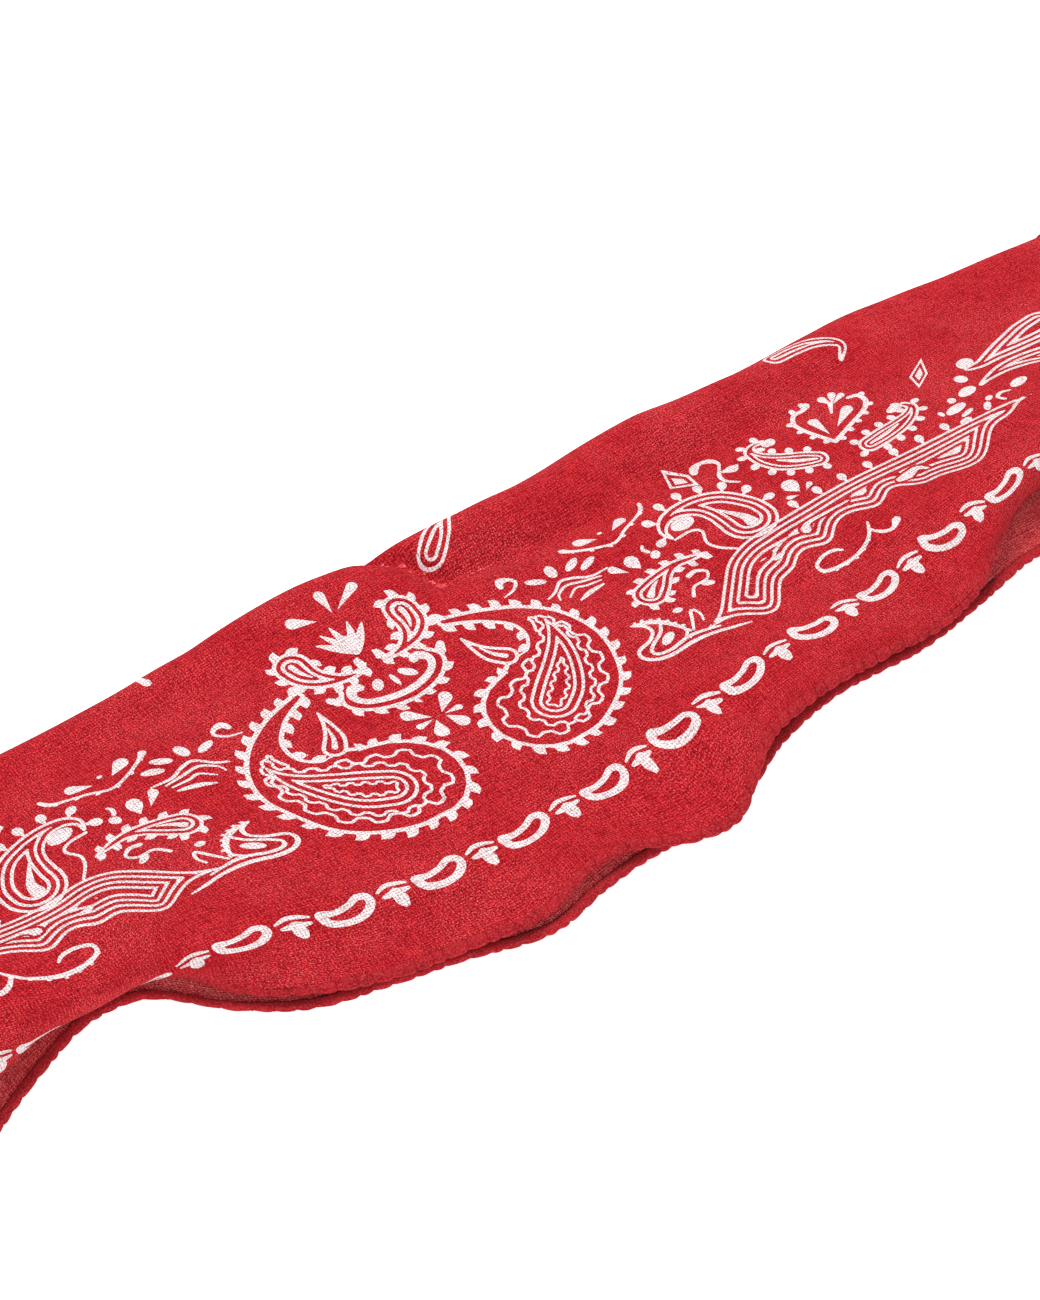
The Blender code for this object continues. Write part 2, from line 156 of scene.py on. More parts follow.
lowerRows = tableOf(        # hem of the second leaf, its lift, and where the hidden layers begin
    "along hemY lift heapY",
    (-275, -60.0, 0.0, -28.0),
    (-240, -63.0, 0.0, -30.0),
    (-205, -61.0, 0.0, -28.0),
    (-175, -54.0, 0.6, -22.0),
    (-152, -40.5, 1.0, -12.0),
    (-134, -31.0, 1.0, -7.0),
    (-116, -24.8, 0.9, -6.0),
    (-104, -27.0, 0.6, -8.0),
    (-90, -42.0, 0.2, -16.0),
    (-78, -51.0, 0.0, -24.0),
    (-60, -56.8, 0.0, -29.0),
    (-42, -61.0, 0.0, -31.0),
    (-18, -67.4, 0.0, -33.0),
    (0, -64.0, 0.0, -33.0),
    (12, -62.8, 0.0, -33.0),
    (28, -63.0, 0.0, -32.5),
    (41, -62.6, 0.0, -31.0),
    (50, -59.6, 0.0, -29.5),
    (62, -53.8, 0.0, -28.0),
    (85, -48.0, 0.0, -25.0),
    (120, -48.2, 0.0, -24.0),
    (145, -44.2, 0.0, -20.0),
    (165, -40.4, 0.1, -14.0),
    (205, -46.0, 0.1, -12.0),
    (240, -57.0, 0.0, -22.0),
    (275, -60.0, 0.0, -28.0),
)
leafMarks = (0.0, 12.0, 24.0, 34.0, 56.0, 85.0, 114.0)
stops = {                   # lengths of cloth at which the folds begin and end
    "shoulder": 114.0,
    "underBack": 137.0,
    "frontFold": 262.0,
    "thirdLayer": 264.0,
    "innerFold": 394.0,
    "secondLayer": 398.0,
    "margin": 510.0,
    "end": 550.0,
}
hiddenFolds = {
    "radius": 1.25,
    "frontRadius": 0.42,    # the first fold is pressed flat under the second leaf
    "frontSet": 13.0,       # from the second leaf's hem back to the first fold
    "leafClear": 0.45,
    "backSet": 3.0,         # inner fold, behind the shoulder of the outer one
    "dropFoot": 2.0,        # the second leaf comes down between these two places
    "dropHead": 14.0,
    "waveHeight": 0.5,
    "waveLength": 31.0,
    "waveDrift": 0.03,
    "marginClear": 0.3,     # from the floor up to the second leaf's margin
    "overFoldFrom": 6.0,    # from the second leaf's hem to where it climbs over the first fold
    "overFoldRun": 6.5,
}
creaseRows = tableOf(       # soft ridges, and troughs where the height is below zero
    "along across toAlong toAcross height width",
    (14, 134, 34, 98, -2.9, 3.8),
    (15, 131, 35, 100, -1.3, 2.2),
    (30, 104, 62, 94, -1.1, 2.4),
    (24, 103, 92, 93, -2.9, 5.0),
    (62, 96, 166, 92, -2.3, 6.0),
    (22, 116, 96, 109, 2.6, 6.5),
    (74, 111, 206, 109, 2.2, 7.0),
    (-34, 122, 18, 116, 1.3, 5.5),
    (-122, 86, -10, 85, 1.4, 9.0),
    (-112, 106, -8, 107, -2.6, 8.0),
    (-66, 96, -30, 104, -0.7, 3.6),
    (118, 118, 188, 121, -0.8, 4.0),
    (150, 99, 206, 95, -0.9, 5.0),
    (196, 112, 246, 104, 0.9, 6.0),
    (-22, 42, 10, 34, -0.8, 4.5),
    (-4, 26, 30, 12, 0.9, 5.0),
    (30, 40, 44, 6, -1.5, 3.6),
    (48, 32, 66, 6, -1.6, 3.4),
    (60, 28, 104, 20, 0.8, 5.5),
    (-78, 34, -44, 24, 0.9, 5.0),
    (-58, 18, -24, 12, -0.7, 4.0),
    (-136, 62, -92, 48, 0.9, 8.0),
    (86, 40, 132, 33, -0.8, 4.5),
    (130, 34, 182, 30, 0.9, 6.0),
    (122, 22, 160, 14, -0.9, 4.0),
    (-232, 96, -150, 88, -1.1, 6.0),
    (-250, 50, -190, 70, 1.0, 7.0),
    (-220, 34, -176, 22, -0.9, 4.5),
    (196, 84, 252, 96, -0.9, 6.0),
    (205, 44, 262, 30, 1.0, 6.0),
    (-262, 122, -180, 127, 0.8, 4.5),
    (-160, 130, -84, 126, -0.7, 3.6),
)
unevenRows = tableOf(       # slow unevenness of cloth that has been worn and laid down
    "acrossWave alongWave turn height",
    (0.17, 0.052, 0.4, 0.22),
    (0.12, 0.094, 2.1, 0.2),
    (0.29, -0.121, 4.0, 0.12),
    (0.09, 0.233, 1.2, 0.1),
    (0.46, 0.31, 3.3, 0.05),
)
puckers = {
    "pitch": 4.4,
    "height": 0.3,
    "reach": 3.4,
    "uneven": ((0.16, 1.7, 0.0), (0.1, 4.3, 1.0)),      # height, turns and start of each wave in the spacing
}
reliefLook = {
    "bow": 2.0,             # how far a crease bends aside at its middle
    "fade": 0.7,
    "topEnd": 8.0,          # the relief dies out before the cloth turns under
    "topFade": 12.0,
    "marginFade": 8.0,
    "marginShare": 0.4,
    "reach": 0.15,          # from a place to those that give its normal
}


def smoothThrough(places, values, at, lastSlope=None):
    # one smooth curve for each row of values, read at the place that belongs to it
    places = np.asarray(places, float)
    values = np.atleast_2d(np.asarray(values, float))
    steps = np.diff(places)
    rises = np.diff(values, axis=1) / steps
    slopes = np.empty_like(values)
    slopes[:, 0] = rises[:, 0]
    slopes[:, -1] = rises[:, -1] if lastSlope is None else lastSlope
    slopes[:, 1:-1] = (rises[:, :-1] * steps[1:] + rises[:, 1:] * steps[:-1]) / (steps[1:] + steps[:-1])
    i = np.clip(np.searchsorted(places, at) - 1, 0, len(places) - 2)
    row = np.arange(len(at)) if len(values) > 1 else np.zeros(len(at), int)
    t = (at - places[i]) / steps[i]
    start = (2 * t**3 - 3 * t**2 + 1) * values[row, i] + (t**3 - 2 * t**2 + t) * steps[i] * slopes[row, i]
    end = (3 * t**2 - 2 * t**3) * values[row, i + 1] + (t**3 - t**2) * steps[i] * slopes[row, i + 1]
    return start + end


def readColumns(table, along):
    places, *columns = zip(*table)
    return {name: smoothThrough(places, column, along) for name, column in zip(table[0]._fields[1:], columns)}


def easeInOut(share):
    return 0.5 - 0.5 * np.cos(np.pi * np.clip(share, 0.0, 1.0))


def layCloth(along, across):
    # printed face of the cloth, from the upper hem over all four layers to the lower hem
    front, body, lower = [readColumns(table, along) for table in (frontRows, bodyRows, lowerRows)]
    shoulderY = body["foldY"] - scarf["foldReach"]
    rise = body["shoulderZ"] / 2.0
    slope = (shoulderY - front["ridgeY"]) / (leafMarks[-1] - leafMarks[3])
    ys = [front["hemY"], front["lipY"], front["chainY"], front["ridgeY"]]
    ys += [front["ridgeY"] + slope * (mark - leafMarks[3]) for mark in leafMarks[4:]]
    zs = [front["hemZ"], front["lipZ"], front["chainZ"], front["ridgeZ"]]
    zs += [body["borderZ"], body["fieldZ"], body["shoulderZ"]]
    onLeaf = np.minimum(across, stops["shoulder"])
    y = smoothThrough(leafMarks, np.stack(ys, axis=1), onLeaf, lastSlope=1.0)
    z = smoothThrough(leafMarks, np.stack(zs, axis=1), onLeaf, lastSlope=0.0)

    def shareOf(start, stop):
        return np.clip((across - stops[start]) / (stops[stop] - stops[start]), 0.0, 1.0)

    def put(start, newY, newZ):
        past = across > stops[start]
        y[past] = newY[past]
        z[past] = newZ[past]

    floor = scarf["floorGap"]
    turn = shareOf("shoulder", "underBack") * np.pi
    put("shoulder", shoulderY + scarf["foldReach"] * np.sin(turn),
        floor + (rise - floor / 2.0) * (1.0 + np.cos(turn)))

    radius, pressed = hiddenFolds["radius"], hiddenFolds["frontRadius"]
    firstY = lower["hemY"] + hiddenFolds["frontSet"]
    innerY = shoulderY + hiddenFolds["backSet"]
    waveTurn = across * 2.0 * np.pi / hiddenFolds["waveLength"] + along * hiddenFolds["waveDrift"]
    wave = hiddenFolds["waveHeight"] * np.sin(waveTurn) ** 2

    def calm(share):
        return wave * np.sin(np.pi * share) ** 0.5

    def climbAt(place):
        return easeInOut((place - lower["heapY"] - hiddenFolds["dropFoot"])
                         / (hiddenFolds["dropHead"] - hiddenFolds["dropFoot"]))

    share = shareOf("underBack", "frontFold")
    put("underBack", shoulderY + (firstY - shoulderY) * share, np.full_like(y, floor))
    turn = shareOf("frontFold", "thirdLayer") * np.pi
    put("frontFold", firstY - pressed * np.sin(turn), floor + pressed * (1.0 - np.cos(turn)))
    third = floor + 2.0 * radius
    share = shareOf("thirdLayer", "innerFold")
    thirdY = firstY + (innerY - firstY) * share
    flat = floor + 2.0 * pressed
    put("thirdLayer", thirdY, flat + (third - flat + calm(share)) * climbAt(thirdY))
    turn = shareOf("innerFold", "secondLayer") * np.pi
    put("innerFold", innerY + radius * np.sin(turn), third + radius * (1.0 - np.cos(turn)))
    second = third + 2.0 * radius
    marginY = lower["hemY"] + stops["end"] - stops["margin"]
    layerY = innerY + (marginY - innerY) * shareOf("secondLayer", "margin")
    layerY -= np.maximum(across - stops["margin"], 0.0)
    inMargin = np.clip((layerY - lower["hemY"]) / (lower["heapY"] - lower["hemY"]), 0.0, 1.0)
    low = floor + lower["lift"] * (1.0 - inMargin) ** 2 + hiddenFolds["marginClear"]
    overFold = easeInOut((layerY - lower["hemY"] - hiddenFolds["overFoldFrom"]) / hiddenFolds["overFoldRun"])
    low += np.maximum(flat + hiddenFolds["leafClear"] - low, 0.0) * overFold
    put("secondLayer", layerY, low + (second - low) * climbAt(layerY))
    return np.stack((along, y, z), axis=1)


def scallopPhase(place):
    # counts the stitches of a hem, a little uneven in their spacing
    even = place / puckers["pitch"]
    phase = even
    for height, turns, start in puckers["uneven"]:
        phase = phase + height * np.sin(even * turns + start)
    return phase


def relief(along, across):
    height = np.zeros_like(along)
    for row in creaseRows:
        start = np.array((row.along, row.across), float)
        run = np.array((row.toAlong, row.toAcross), float) - start
        length = np.linalg.norm(run)
        run /= length
        forward = (along - start[0]) * run[0] + (across - start[1]) * run[1]
        aside = (along - start[0]) * -run[1] + (across - start[1]) * run[0]
        swell = np.sin(np.pi * np.clip(forward / length, 0.0, 1.0))
        fromRidge = (aside - reliefLook["bow"] * swell) / row.width
        height += row.height * swell ** reliefLook["fade"] * np.exp(-fromRidge ** 2)
    for row in unevenRows:
        height += row.height * np.sin(row.acrossWave * across + row.alongWave * along + row.turn)
    fromEdge = np.minimum(across, scarf["side"] - across)
    fade = np.exp(-fromEdge / puckers["reach"])
    height -= puckers["height"] * fade * np.cos(2.0 * np.pi * scallopPhase(along))
    onTop = np.clip((stops["underBack"] - reliefLook["topEnd"] - across) / reliefLook["topFade"], 0.0, 1.0)
    onMargin = np.clip((across - stops["margin"]) / reliefLook["marginFade"], 0.0, 1.0)
    onMargin *= reliefLook["marginShare"]
    return height * np.maximum(onTop, onMargin)


def unitRows(rows):
    return rows / np.maximum(np.linalg.norm(rows, axis=1), 1e-9)[:, None]


def outwardOf(place, along, across):
    # unit normal of the printed face, from the places a little to each side
    reach = reliefLook["reach"]
    onRight = place(along + reach, across)
    onLeft = place(along - reach, across)
    ahead = place(along, across + reach)
    behind = place(along, across - reach)
    return unitRows(np.cross(onRight - onLeft, ahead - behind))


def printedFace(along, across):
    return layCloth(along, across) + outwardOf(layCloth, along, across) * relief(along, across)[:, None]


# The white print is laid out on the flat cloth. A motif is a list of (outline, colour):
# 1 is printed white, 0 leaves the red ground.
print("print")
clearGround = -1            # red ground with no band lines over it


def smoothLine(points, step=0.95):
    # rounded line through rows of (along, across, and any size that goes with it)
    points = np.asarray(points, float)
    knots = np.concatenate((2 * points[:1] - points[1:2], points, 2 * points[-1:] - points[-2:-1]))
    line = []
    for a, b, c, d in zip(knots, knots[1:], knots[2:], knots[3:]):
        count = max(2, int(round(np.linalg.norm(c[:2] - b[:2]) / step)))
        for k in range(count):
            t = k / count
            line.append(0.5 * (2 * b + (c - a) * t + (2 * a - 5 * b + 4 * c - d) * t**2
                               + (3 * b - a - 3 * c + d) * t**3))
    line.append(knots[-2])
    return np.array(line)


def middleOf(rows):
    return smoothLine(rows)[:, :2]


def lengthsAlong(line):
    return np.concatenate(([0.0], np.cumsum(np.linalg.norm(np.diff(line, axis=0), axis=1))))


def runsOf(line):
    run = unitRows(np.gradient(line[:, :2], axis=0))
    return run, np.stack((-run[:, 1], run[:, 0]), axis=1)


def pointsAt(line, lengths, at):
    return np.stack([np.interp(at, lengths, line[:, k]) for k in (0, 1)], axis=1)


def placesAlong(line, pitch, start):
    # places at even lengths along a line, and which way it runs from a little before to a little after
    reach = 0.4
    lengths = lengthsAlong(line)
    at = np.arange(start, lengths[-1], pitch)
    run = pointsAt(line, lengths, at + reach) - pointsAt(line, lengths, at - reach)
    return pointsAt(line, lengths, at), unitRows(run)


def placedAt(along, across, angle, x, y):
    turned = math.radians(angle)
    cos, sin = math.cos(turned), math.sin(turned)
    return np.stack((along + x * cos - y * sin, across + x * sin + y * cos), axis=1)


def roundEnd(centre, radius, facing, steps):
    turns = np.linspace(-np.pi / 2, np.pi / 2, steps + 2)[1:-1] + math.atan2(facing[1], facing[0])
    return centre + radius * np.stack((np.cos(turns), np.sin(turns)), axis=1)


def turnedRows(along, across, angle, rows):
    # rows of (x, y, size), turned and moved to their place
    x, y, size = np.transpose(rows)
    return np.column_stack((placedAt(along, across, angle, x, y), size))


leafLook = {
    "thinnest": 0.12,       # smallest radius that is drawn
    "broadFrom": 2.0,       # a bulb of this radius gets more points
    "tipPoints": 2,
    "bulbPoints": 3,
    "broadPoints": 9,
}


def leafOutline(rows, grow=0.0):
    # closed outline of a paisley: rows of (along, across, radius) from its bulb to its tip
    line = smoothLine(rows)
    line[:, 2] += grow
    line = line[line[:, 2] > leafLook["thinnest"]]
    if len(line) < 3:
        return None
    run, aside = runsOf(line)
    left = line[:, :2] + aside * line[:, 2:3]
    right = line[:, :2] - aside * line[:, 2:3]
    tip = roundEnd(line[-1, :2], line[-1, 2], run[-1], leafLook["tipPoints"])
    points = leafLook["broadPoints" if line[0, 2] > leafLook["broadFrom"] else "bulbPoints"]
    bulb = roundEnd(line[0, :2], line[0, 2], -run[0], points)
    return np.concatenate((right, tip, left[::-1], bulb))


def each(shape, *rows):
    # the same shape, once for each row of its sizes
    return [part for row in rows for part in shape(*row)]


def stroke(*rows):
    # rows of (along, across, width of the line)
    return [(leafOutline([(along, across, width / 2.0) for along, across, width in rows]), 1)]


def oval(along, across, length, width, angle):
    turns = np.linspace(0, 2 * np.pi, 13)[:-1]
    return [(placedAt(along, across, angle, np.cos(turns) * length / 2, np.sin(turns) * width / 2), 1)]


def drop(along, across, length, width, angle):
    # pointed at the place given, round at its far end
    radius = width / 2.0
    middle = length - radius
    turn = math.pi - math.acos(min(0.95, radius / middle))
    turns = np.linspace(-turn, turn, 9)
    x = np.concatenate(([0.0], middle + radius * np.cos(turns)))
    y = np.concatenate(([0.0], radius * np.sin(turns)))
    return [(placedAt(along, across, angle, x, y), 1)]


def rings(rows, insets, line):
    # white lines that follow an outline, one inside the other
    made = []
    for inset in insets:
        outer = leafOutline(rows, -inset)
        inner = leafOutline(rows, -inset - line)
        if outer is not None:
            made.append((outer, 1))
        if inner is not None:
            made.append((inner, 0))
    return made


def asideOf(path):
    # which way is aside at each point of a closed path
    return runsOf(np.concatenate((path[-1:], path, path[:1])))[1][1:-1]


tornLook = {
    "points": 6,            # to each step in and out
    "squareness": 2.5,
    "turn": 0.4,
    "calmBelow": 0.3,
}


def tornRing(rows, inset, pitch, height, line):
    # a white line that steps in and out as it follows an outline
    path = leafOutline(rows, -inset)
    path = np.concatenate((path, path[:1]))
    lengths = lengthsAlong(path)
    count = max(1, int(round(lengths[-1] / pitch)))
    even = np.linspace(0.0, lengths[-1], count * tornLook["points"] + 1)[:-1]
    path = pointsAt(path, lengths, even)
    step = np.tanh(tornLook["squareness"] * np.sin(2 * np.pi * even * count / lengths[-1] + tornLook["turn"]))
    middle = middleOf(rows)
    room = np.linalg.norm(path[:, None] - middle[None], axis=2).min(axis=1)
    step *= np.clip(room / height - tornLook["calmBelow"], 0.0, 1.0)    # no steps where the tip gets narrow
    path = path + asideOf(path) * (height / 2 * step)[:, None]
    aside = asideOf(path)
    return [(path - aside * line / 2, 1), (path + aside * line / 2, 0)]


cogLook = {
    "root": 0.35,           # how far inside its line a tooth starts
    "belly": 0.62,          # where it is widest, as a share of its height
    "foot": (-0.52, 0.54),  # places of its corners along the line, as shares of its base
    "widest": (0.5, -0.42),
    "head": (0.46, -0.18),
    "tall": (0.86, 0.07),   # least share of its height and base, and what each of up to four steps adds
    "broad": (0.9, 0.05),
}


def cogs(line, pitch, height, base, side=-1.0, lean=0.2):
    # blunt teeth, each a little unlike the next; side -1 is the right-hand side of the line
    made = []
    for k, (place, run) in enumerate(zip(*placesAlong(line, pitch, pitch / 2))):
        out = side * np.array((-run[1], run[0]))
        tall = height * (cogLook["tall"][0] + cogLook["tall"][1] * ((k * 3) % 5))
        run = run * base * (cogLook["broad"][0] + cogLook["broad"][1] * ((k * 7) % 5))
        foot = place - out * cogLook["root"]
        belly = place + out * tall * cogLook["belly"] + run * lean * 0.5
        head = place + out * tall + run * lean
        corners = [foot + run * share for share in cogLook["foot"]]
        corners += [belly + run * cogLook["widest"][0], *(head + run * share for share in cogLook["head"])]
        corners.append(belly + run * cogLook["widest"][1])
        made.append((np.array(corners), 1))
    return made


def cogsRound(rows, pitch, height, base):
    outline = leafOutline(rows)
    return cogs(np.concatenate((outline, outline[:1])), pitch, height, base)


beadLook = {
    "longer": 1.25,         # than it is wide
    "neck": 0.4,            # where its middle lies, and its width, as a share of the bead's
}


def balls(line, pitch, distance, size, side=-1.0):
    # round beads, each on a short neck
    made = []
    for place, run in zip(*placesAlong(line, pitch, pitch / 2)):
        out = side * np.array((-run[1], run[0]))
        angle = math.degrees(math.atan2(out[1], out[0]))
        centre = place + out * distance
        made += oval(centre[0], centre[1], size * beadLook["longer"], size, angle)
        neck = place + out * distance * beadLook["neck"]
        made += oval(neck[0], neck[1], distance, size * beadLook["neck"], angle)
    return made


def fourSided(corners):
    # a small outlined diamond with a solid middle
    corners = np.array(corners, float)
    centre = corners.mean(axis=0)
    return [(centre + (corners - centre) * size, colour) for size, colour in ((1.0, 1), (0.74, 0), (0.42, 1))]


def bigPaisley():
    body = ((22.6, 53.0, 14.6), (29.0, 54.0, 15.3), (36.5, 58.5, 15.0), (41.8, 65.5, 11.2),
            (42.8, 74.0, 7.2), (39.8, 81.4, 4.3), (33.8, 86.2, 2.9), (28.0, 88.8, 2.2), (22.8, 90.4, 1.8))
    seed = ((27.2, 52.6, 6.2), (32.0, 55.8, 6.4), (37.0, 60.6, 5.2), (41.0, 66.0, 3.4),
            (43.4, 71.2, 1.6), (44.4, 75.4, 0.3))
    made = cogsRound(body, 5.3, 2.0, 2.9)
    made += rings(body, (0.0,), 1.2)
    made += tornRing(body[:7], 5.0, 7.2, 2.0, 0.85)
    made += tornRing(((27.2, 52.6, 8.4), (32.0, 55.8, 8.6), (37.0, 60.8, 7.2), (41.0, 66.4, 5.0),
                      (43.4, 72.0, 2.6), (43.8, 77.0, 0.9)), 0.0, 5.2, 1.2, 0.8)
    made += rings(seed, (0.0, 2.2), 0.85)
    made += tornRing(seed, 4.4, 3.4, 0.8, 0.7)
    hollow = ((27.8, 71.4, 3.1), (25.2, 74.6, 2.7), (23.6, 78.8, 1.5), (22.8, 83.4, 0.3))
    made += rings(hollow, (0.0,), 1.0)
    made += stroke((27.6, 71.6, 1.5), (25.6, 74.4, 1.1), (24.4, 78.0, 0.5))
    return made


def upperPaisley():
    body = ((16.8, 98.8, 5.0), (16.4, 95.0, 4.6), (14.0, 91.6, 3.2), (9.8, 89.3, 1.8),
            (5.4, 88.5, 1.1), (1.8, 89.8, 0.4))
    made = cogsRound(body, 4.5, 1.9, 2.6)
    made += rings(body, (0.0, 2.1), 1.0)
    made += stroke((16.9, 99.2, 1.7), (16.7, 96.4, 1.3), (15.4, 93.6, 0.5))
    return made


def crescentBoat():
    keel = ((-13.4, 85.6, 1.3), (-15.4, 82.4, 1.2), (-14.0, 78.8, 1.1), (-8.4, 75.2, 1.1), (0.0, 73.6, 1.1),
            (8.4, 75.2, 1.1), (14.0, 78.8, 1.1), (15.4, 82.4, 1.2), (13.4, 85.6, 1.3))
    made = stroke(*keel)
    made += cogs(middleOf(keel), 5.0, 2.1, 2.9)
    made += stroke((-8.6, 84.4, 2.4), (-10.4, 85.0, 2.8), (-12.2, 82.6, 2.2), (-10.2, 79.4, 1.8),
                   (-5.0, 77.2, 1.9), (0.0, 76.6, 1.9), (5.0, 77.2, 1.9), (10.2, 79.4, 1.8),
                   (12.2, 82.6, 2.2), (10.4, 85.0, 2.8), (8.6, 84.4, 2.4))
    made += each(oval, (-4.6, 82.4, 4.4, 2.8, 50), (0.2, 81.2, 5.0, 2.2, 88), (4.8, 81.8, 5.2, 2.6, -45))
    for side in (-1, 1):
        made += stroke((side * 17.6, 85.0, 2.0), (side * 16.2, 83.4, 2.6))
    return made


lotusLook = {
    "foot": (-1.0, 93.5),
    "tall": 9.5,
    "petals": (46, 68, 90, 112, 134),                   # which way each petal points
    "shape": ((0.0, 1.4), (0.4, 2.2), (0.72, 1.7), (1.0, 0.4)),   # share of its height, and its width there
}


def lotusAndPetals():
    made = []
    for turned in lotusLook["petals"]:
        out = np.array((math.cos(math.radians(turned)), math.sin(math.radians(turned))))
        rows = [(*(lotusLook["foot"] + out * lotusLook["tall"] * share), width)
                for share, width in lotusLook["shape"]]
        made += stroke(*rows)
    made += each(drop, (-1.8, 106.4, 8.0, 3.4, 150), (1.4, 106.6, 8.0, 3.0, 84),
                       (3.2, 106.8, 10.6, 2.9, 30))
    return made


def petalSpray():
    return each(drop, (2.6, 66.2, 7.4, 3.5, 42), (2.9, 65.4, 5.2, 1.9, -2), (2.6, 64.8, 6.4, 3.7, -64))


def hookAndPetals():
    made = stroke((43.0, 91.8, 1.6), (43.8, 93.4, 2.3), (46.2, 92.8, 1.2), (47.4, 91.0, 1.1),
                  (45.2, 89.1, 0.8), (41.6, 88.5, 0.4))
    made += each(oval, (51.6, 87.8, 6.0, 2.1, -32), (57.2, 88.2, 4.6, 3.2, 85), (63.2, 86.8, 5.4, 2.4, 22),
                       (66.8, 84.4, 5.8, 2.2, 16))
    made += stroke((50.2, 80.8, 0.6), (53.2, 81.6, 0.8), (56.8, 83.9, 0.9), (60.4, 82.8, 0.9),
                   (64.4, 80.4, 0.8), (70.0, 79.9, 0.5))
    made += stroke((52.4, 78.4, 0.5), (53.2, 80.2, 0.7), (57.0, 81.7, 0.8), (61.4, 80.3, 0.8),
                   (66.8, 78.7, 0.5))
    made += stroke((55.0, 77.6, 0.5), (58.4, 79.4, 0.7), (61.2, 78.4, 0.7), (65.8, 77.6, 0.5))
    made += stroke((56.6, 75.0, 0.6), (60.4, 75.8, 1.5), (65.2, 76.0, 0.7))
    return made


def bracketSpray():
    arm = ((64.6, 92.4, 2.0), (66.8, 90.2, 1.1), (71.4, 87.4, 0.9), (77.5, 85.3, 0.9), (83.0, 87.4, 0.9),
           (88.6, 89.2, 0.9), (91.8, 90.6, 1.3), (93.4, 93.0, 1.2))
    made = stroke(*arm)
    made += cogs(middleOf(arm), 5.2, 1.0, 1.3)
    made += each(drop, (74.8, 89.6, 6.8, 3.9, 148), (80.2, 89.6, 7.0, 3.4, 24))
    made += oval(77.2, 91.4, 1.5, 1.2, 0)
    made += each(drop, (73.2, 74.8, 5.8, 2.6, 128), (76.6, 73.6, 5.8, 4.2, 96))
    made += oval(82.8, 74.8, 3.2, 2.8, 40)
    made += stroke((82.2, 79.6, 0.8), (81.4, 78.4, 1.2), (82.0, 76.8, 1.2))
    return made


def lowPaisley():
    body = ((71.6, 64.4, 4.9), (75.4, 66.0, 4.1), (79.6, 67.7, 2.6), (84.0, 68.3, 1.6),
            (88.6, 67.2, 1.3), (93.4, 65.8, 0.5))
    made = cogsRound(body, 4.7, 1.8, 2.3)
    made += rings(body, (0.0, 1.9), 0.85)
    made += stroke((71.2, 63.8, 2.2), (73.8, 65.8, 1.2), (76.4, 67.0, 0.5))
    made += stroke((83.6, 62.4, 1.6), (86.2, 62.6, 1.3), (88.4, 60.4, 0.9), (86.4, 58.2, 0.8),
                   (82.0, 58.4, 0.9), (79.4, 55.8, 1.1))
    made += each(oval, (85.6, 56.8, 3.8, 2.0, -35), (72.6, 54.8, 3.0, 1.9, -15))
    return made


def leafTip():
    back = ((59.2, 58.2, 0.5), (63.4, 56.6, 1.4), (66.6, 54.0, 1.5), (68.6, 50.6, 1.3), (69.2, 47.6, 1.0),
            (67.0, 45.6, 0.7))
    made = stroke(*back)
    made += cogs(middleOf(back), 2.1, 1.3, 1.2, side=1.0)
    made += stroke((59.4, 58.0, 0.6), (62.0, 56.0, 1.1), (62.2, 53.2, 1.0), (59.4, 51.2, 1.0),
                   (55.0, 50.4, 1.0), (54.2, 48.0, 1.1), (56.6, 45.2, 1.1), (61.0, 43.6, 1.2),
                   (68.0, 43.2, 1.2), (74.0, 42.0, 1.0), (80.0, 40.0, 0.9), (84.0, 38.6, 0.5))
    made += stroke((66.0, 54.4, 0.9), (63.6, 51.6, 1.0), (59.6, 49.8, 1.0), (57.4, 48.2, 1.0),
                   (58.2, 46.3, 1.0), (62.0, 45.2, 1.0), (68.0, 45.5, 1.1), (72.6, 44.4, 0.9),
                   (76.8, 42.9, 0.6))
    made += oval(63.6, 48.7, 5.4, 2.7, 22)
    made += stroke((70.6, 46.4, 0.7), (73.0, 49.6, 0.9), (75.2, 52.4, 1.0), (76.2, 50.2, 0.8),
                   (75.2, 47.6, 0.7))
    return made


# the long frilled band of the border, filled with lines that follow its outline
bandLook = {
    "from": 72.0,
    "to": 207.0,
    "foot": 44.0,           # where its upper edge starts
    "rise": 17.0,
    "riseOver": 30.0,
    "fall": 10.0,
    "fallFrom": 126.0,
    "belly": 4.0,           # how far its lower edge would bow up without the frill
    "upperStep": 7.5,
    "lowerStep": 3.0,
    "spacing": 1.95,
    "line": 0.85,
    "softEdge": 0.12,
    "meshStep": 1.25,
    "endCut": 146.0,        # where the same band on the next side stops
    "tipWidth": 0.6,
    "tipStep": 1.0,         # from each tip to the first point of the lower edge
    "lineStep": 1.5,
}
frillLobes = tableOf(       # how far each lobe of the frill hangs down, and half its width
    "along reach width",
    (92, 9.0, 8),
    (106, 2.5, 4),
    (120, 4.0, 5),
    (140, 5.0, 6),
    (154, 4.0, 5),
    (170, 15.0, 14),
    (192, 3.0, 6),
)


def bandUpper(along):
    look = bandLook
    rise = easeInOut((along - look["from"]) / look["riseOver"])
    fall = easeInOut((along - look["fallFrom"]) / (look["to"] - look["fallFrom"]))
    return look["foot"] + look["rise"] * rise - look["fall"] * fall


def bandLower(along):
    look = bandLook
    share = (along - look["from"]) / (look["to"] - look["from"])
    ends = bandUpper(np.array((look["from"], look["to"]))) - look["tipWidth"]
    lower = ends[0] + (ends[1] - ends[0]) * share + look["belly"] * np.sin(np.pi * share)
    for lobe in frillLobes:
        lower = lower - lobe.reach * np.exp(-((along - lobe.along) / lobe.width) ** 2)
    return lower


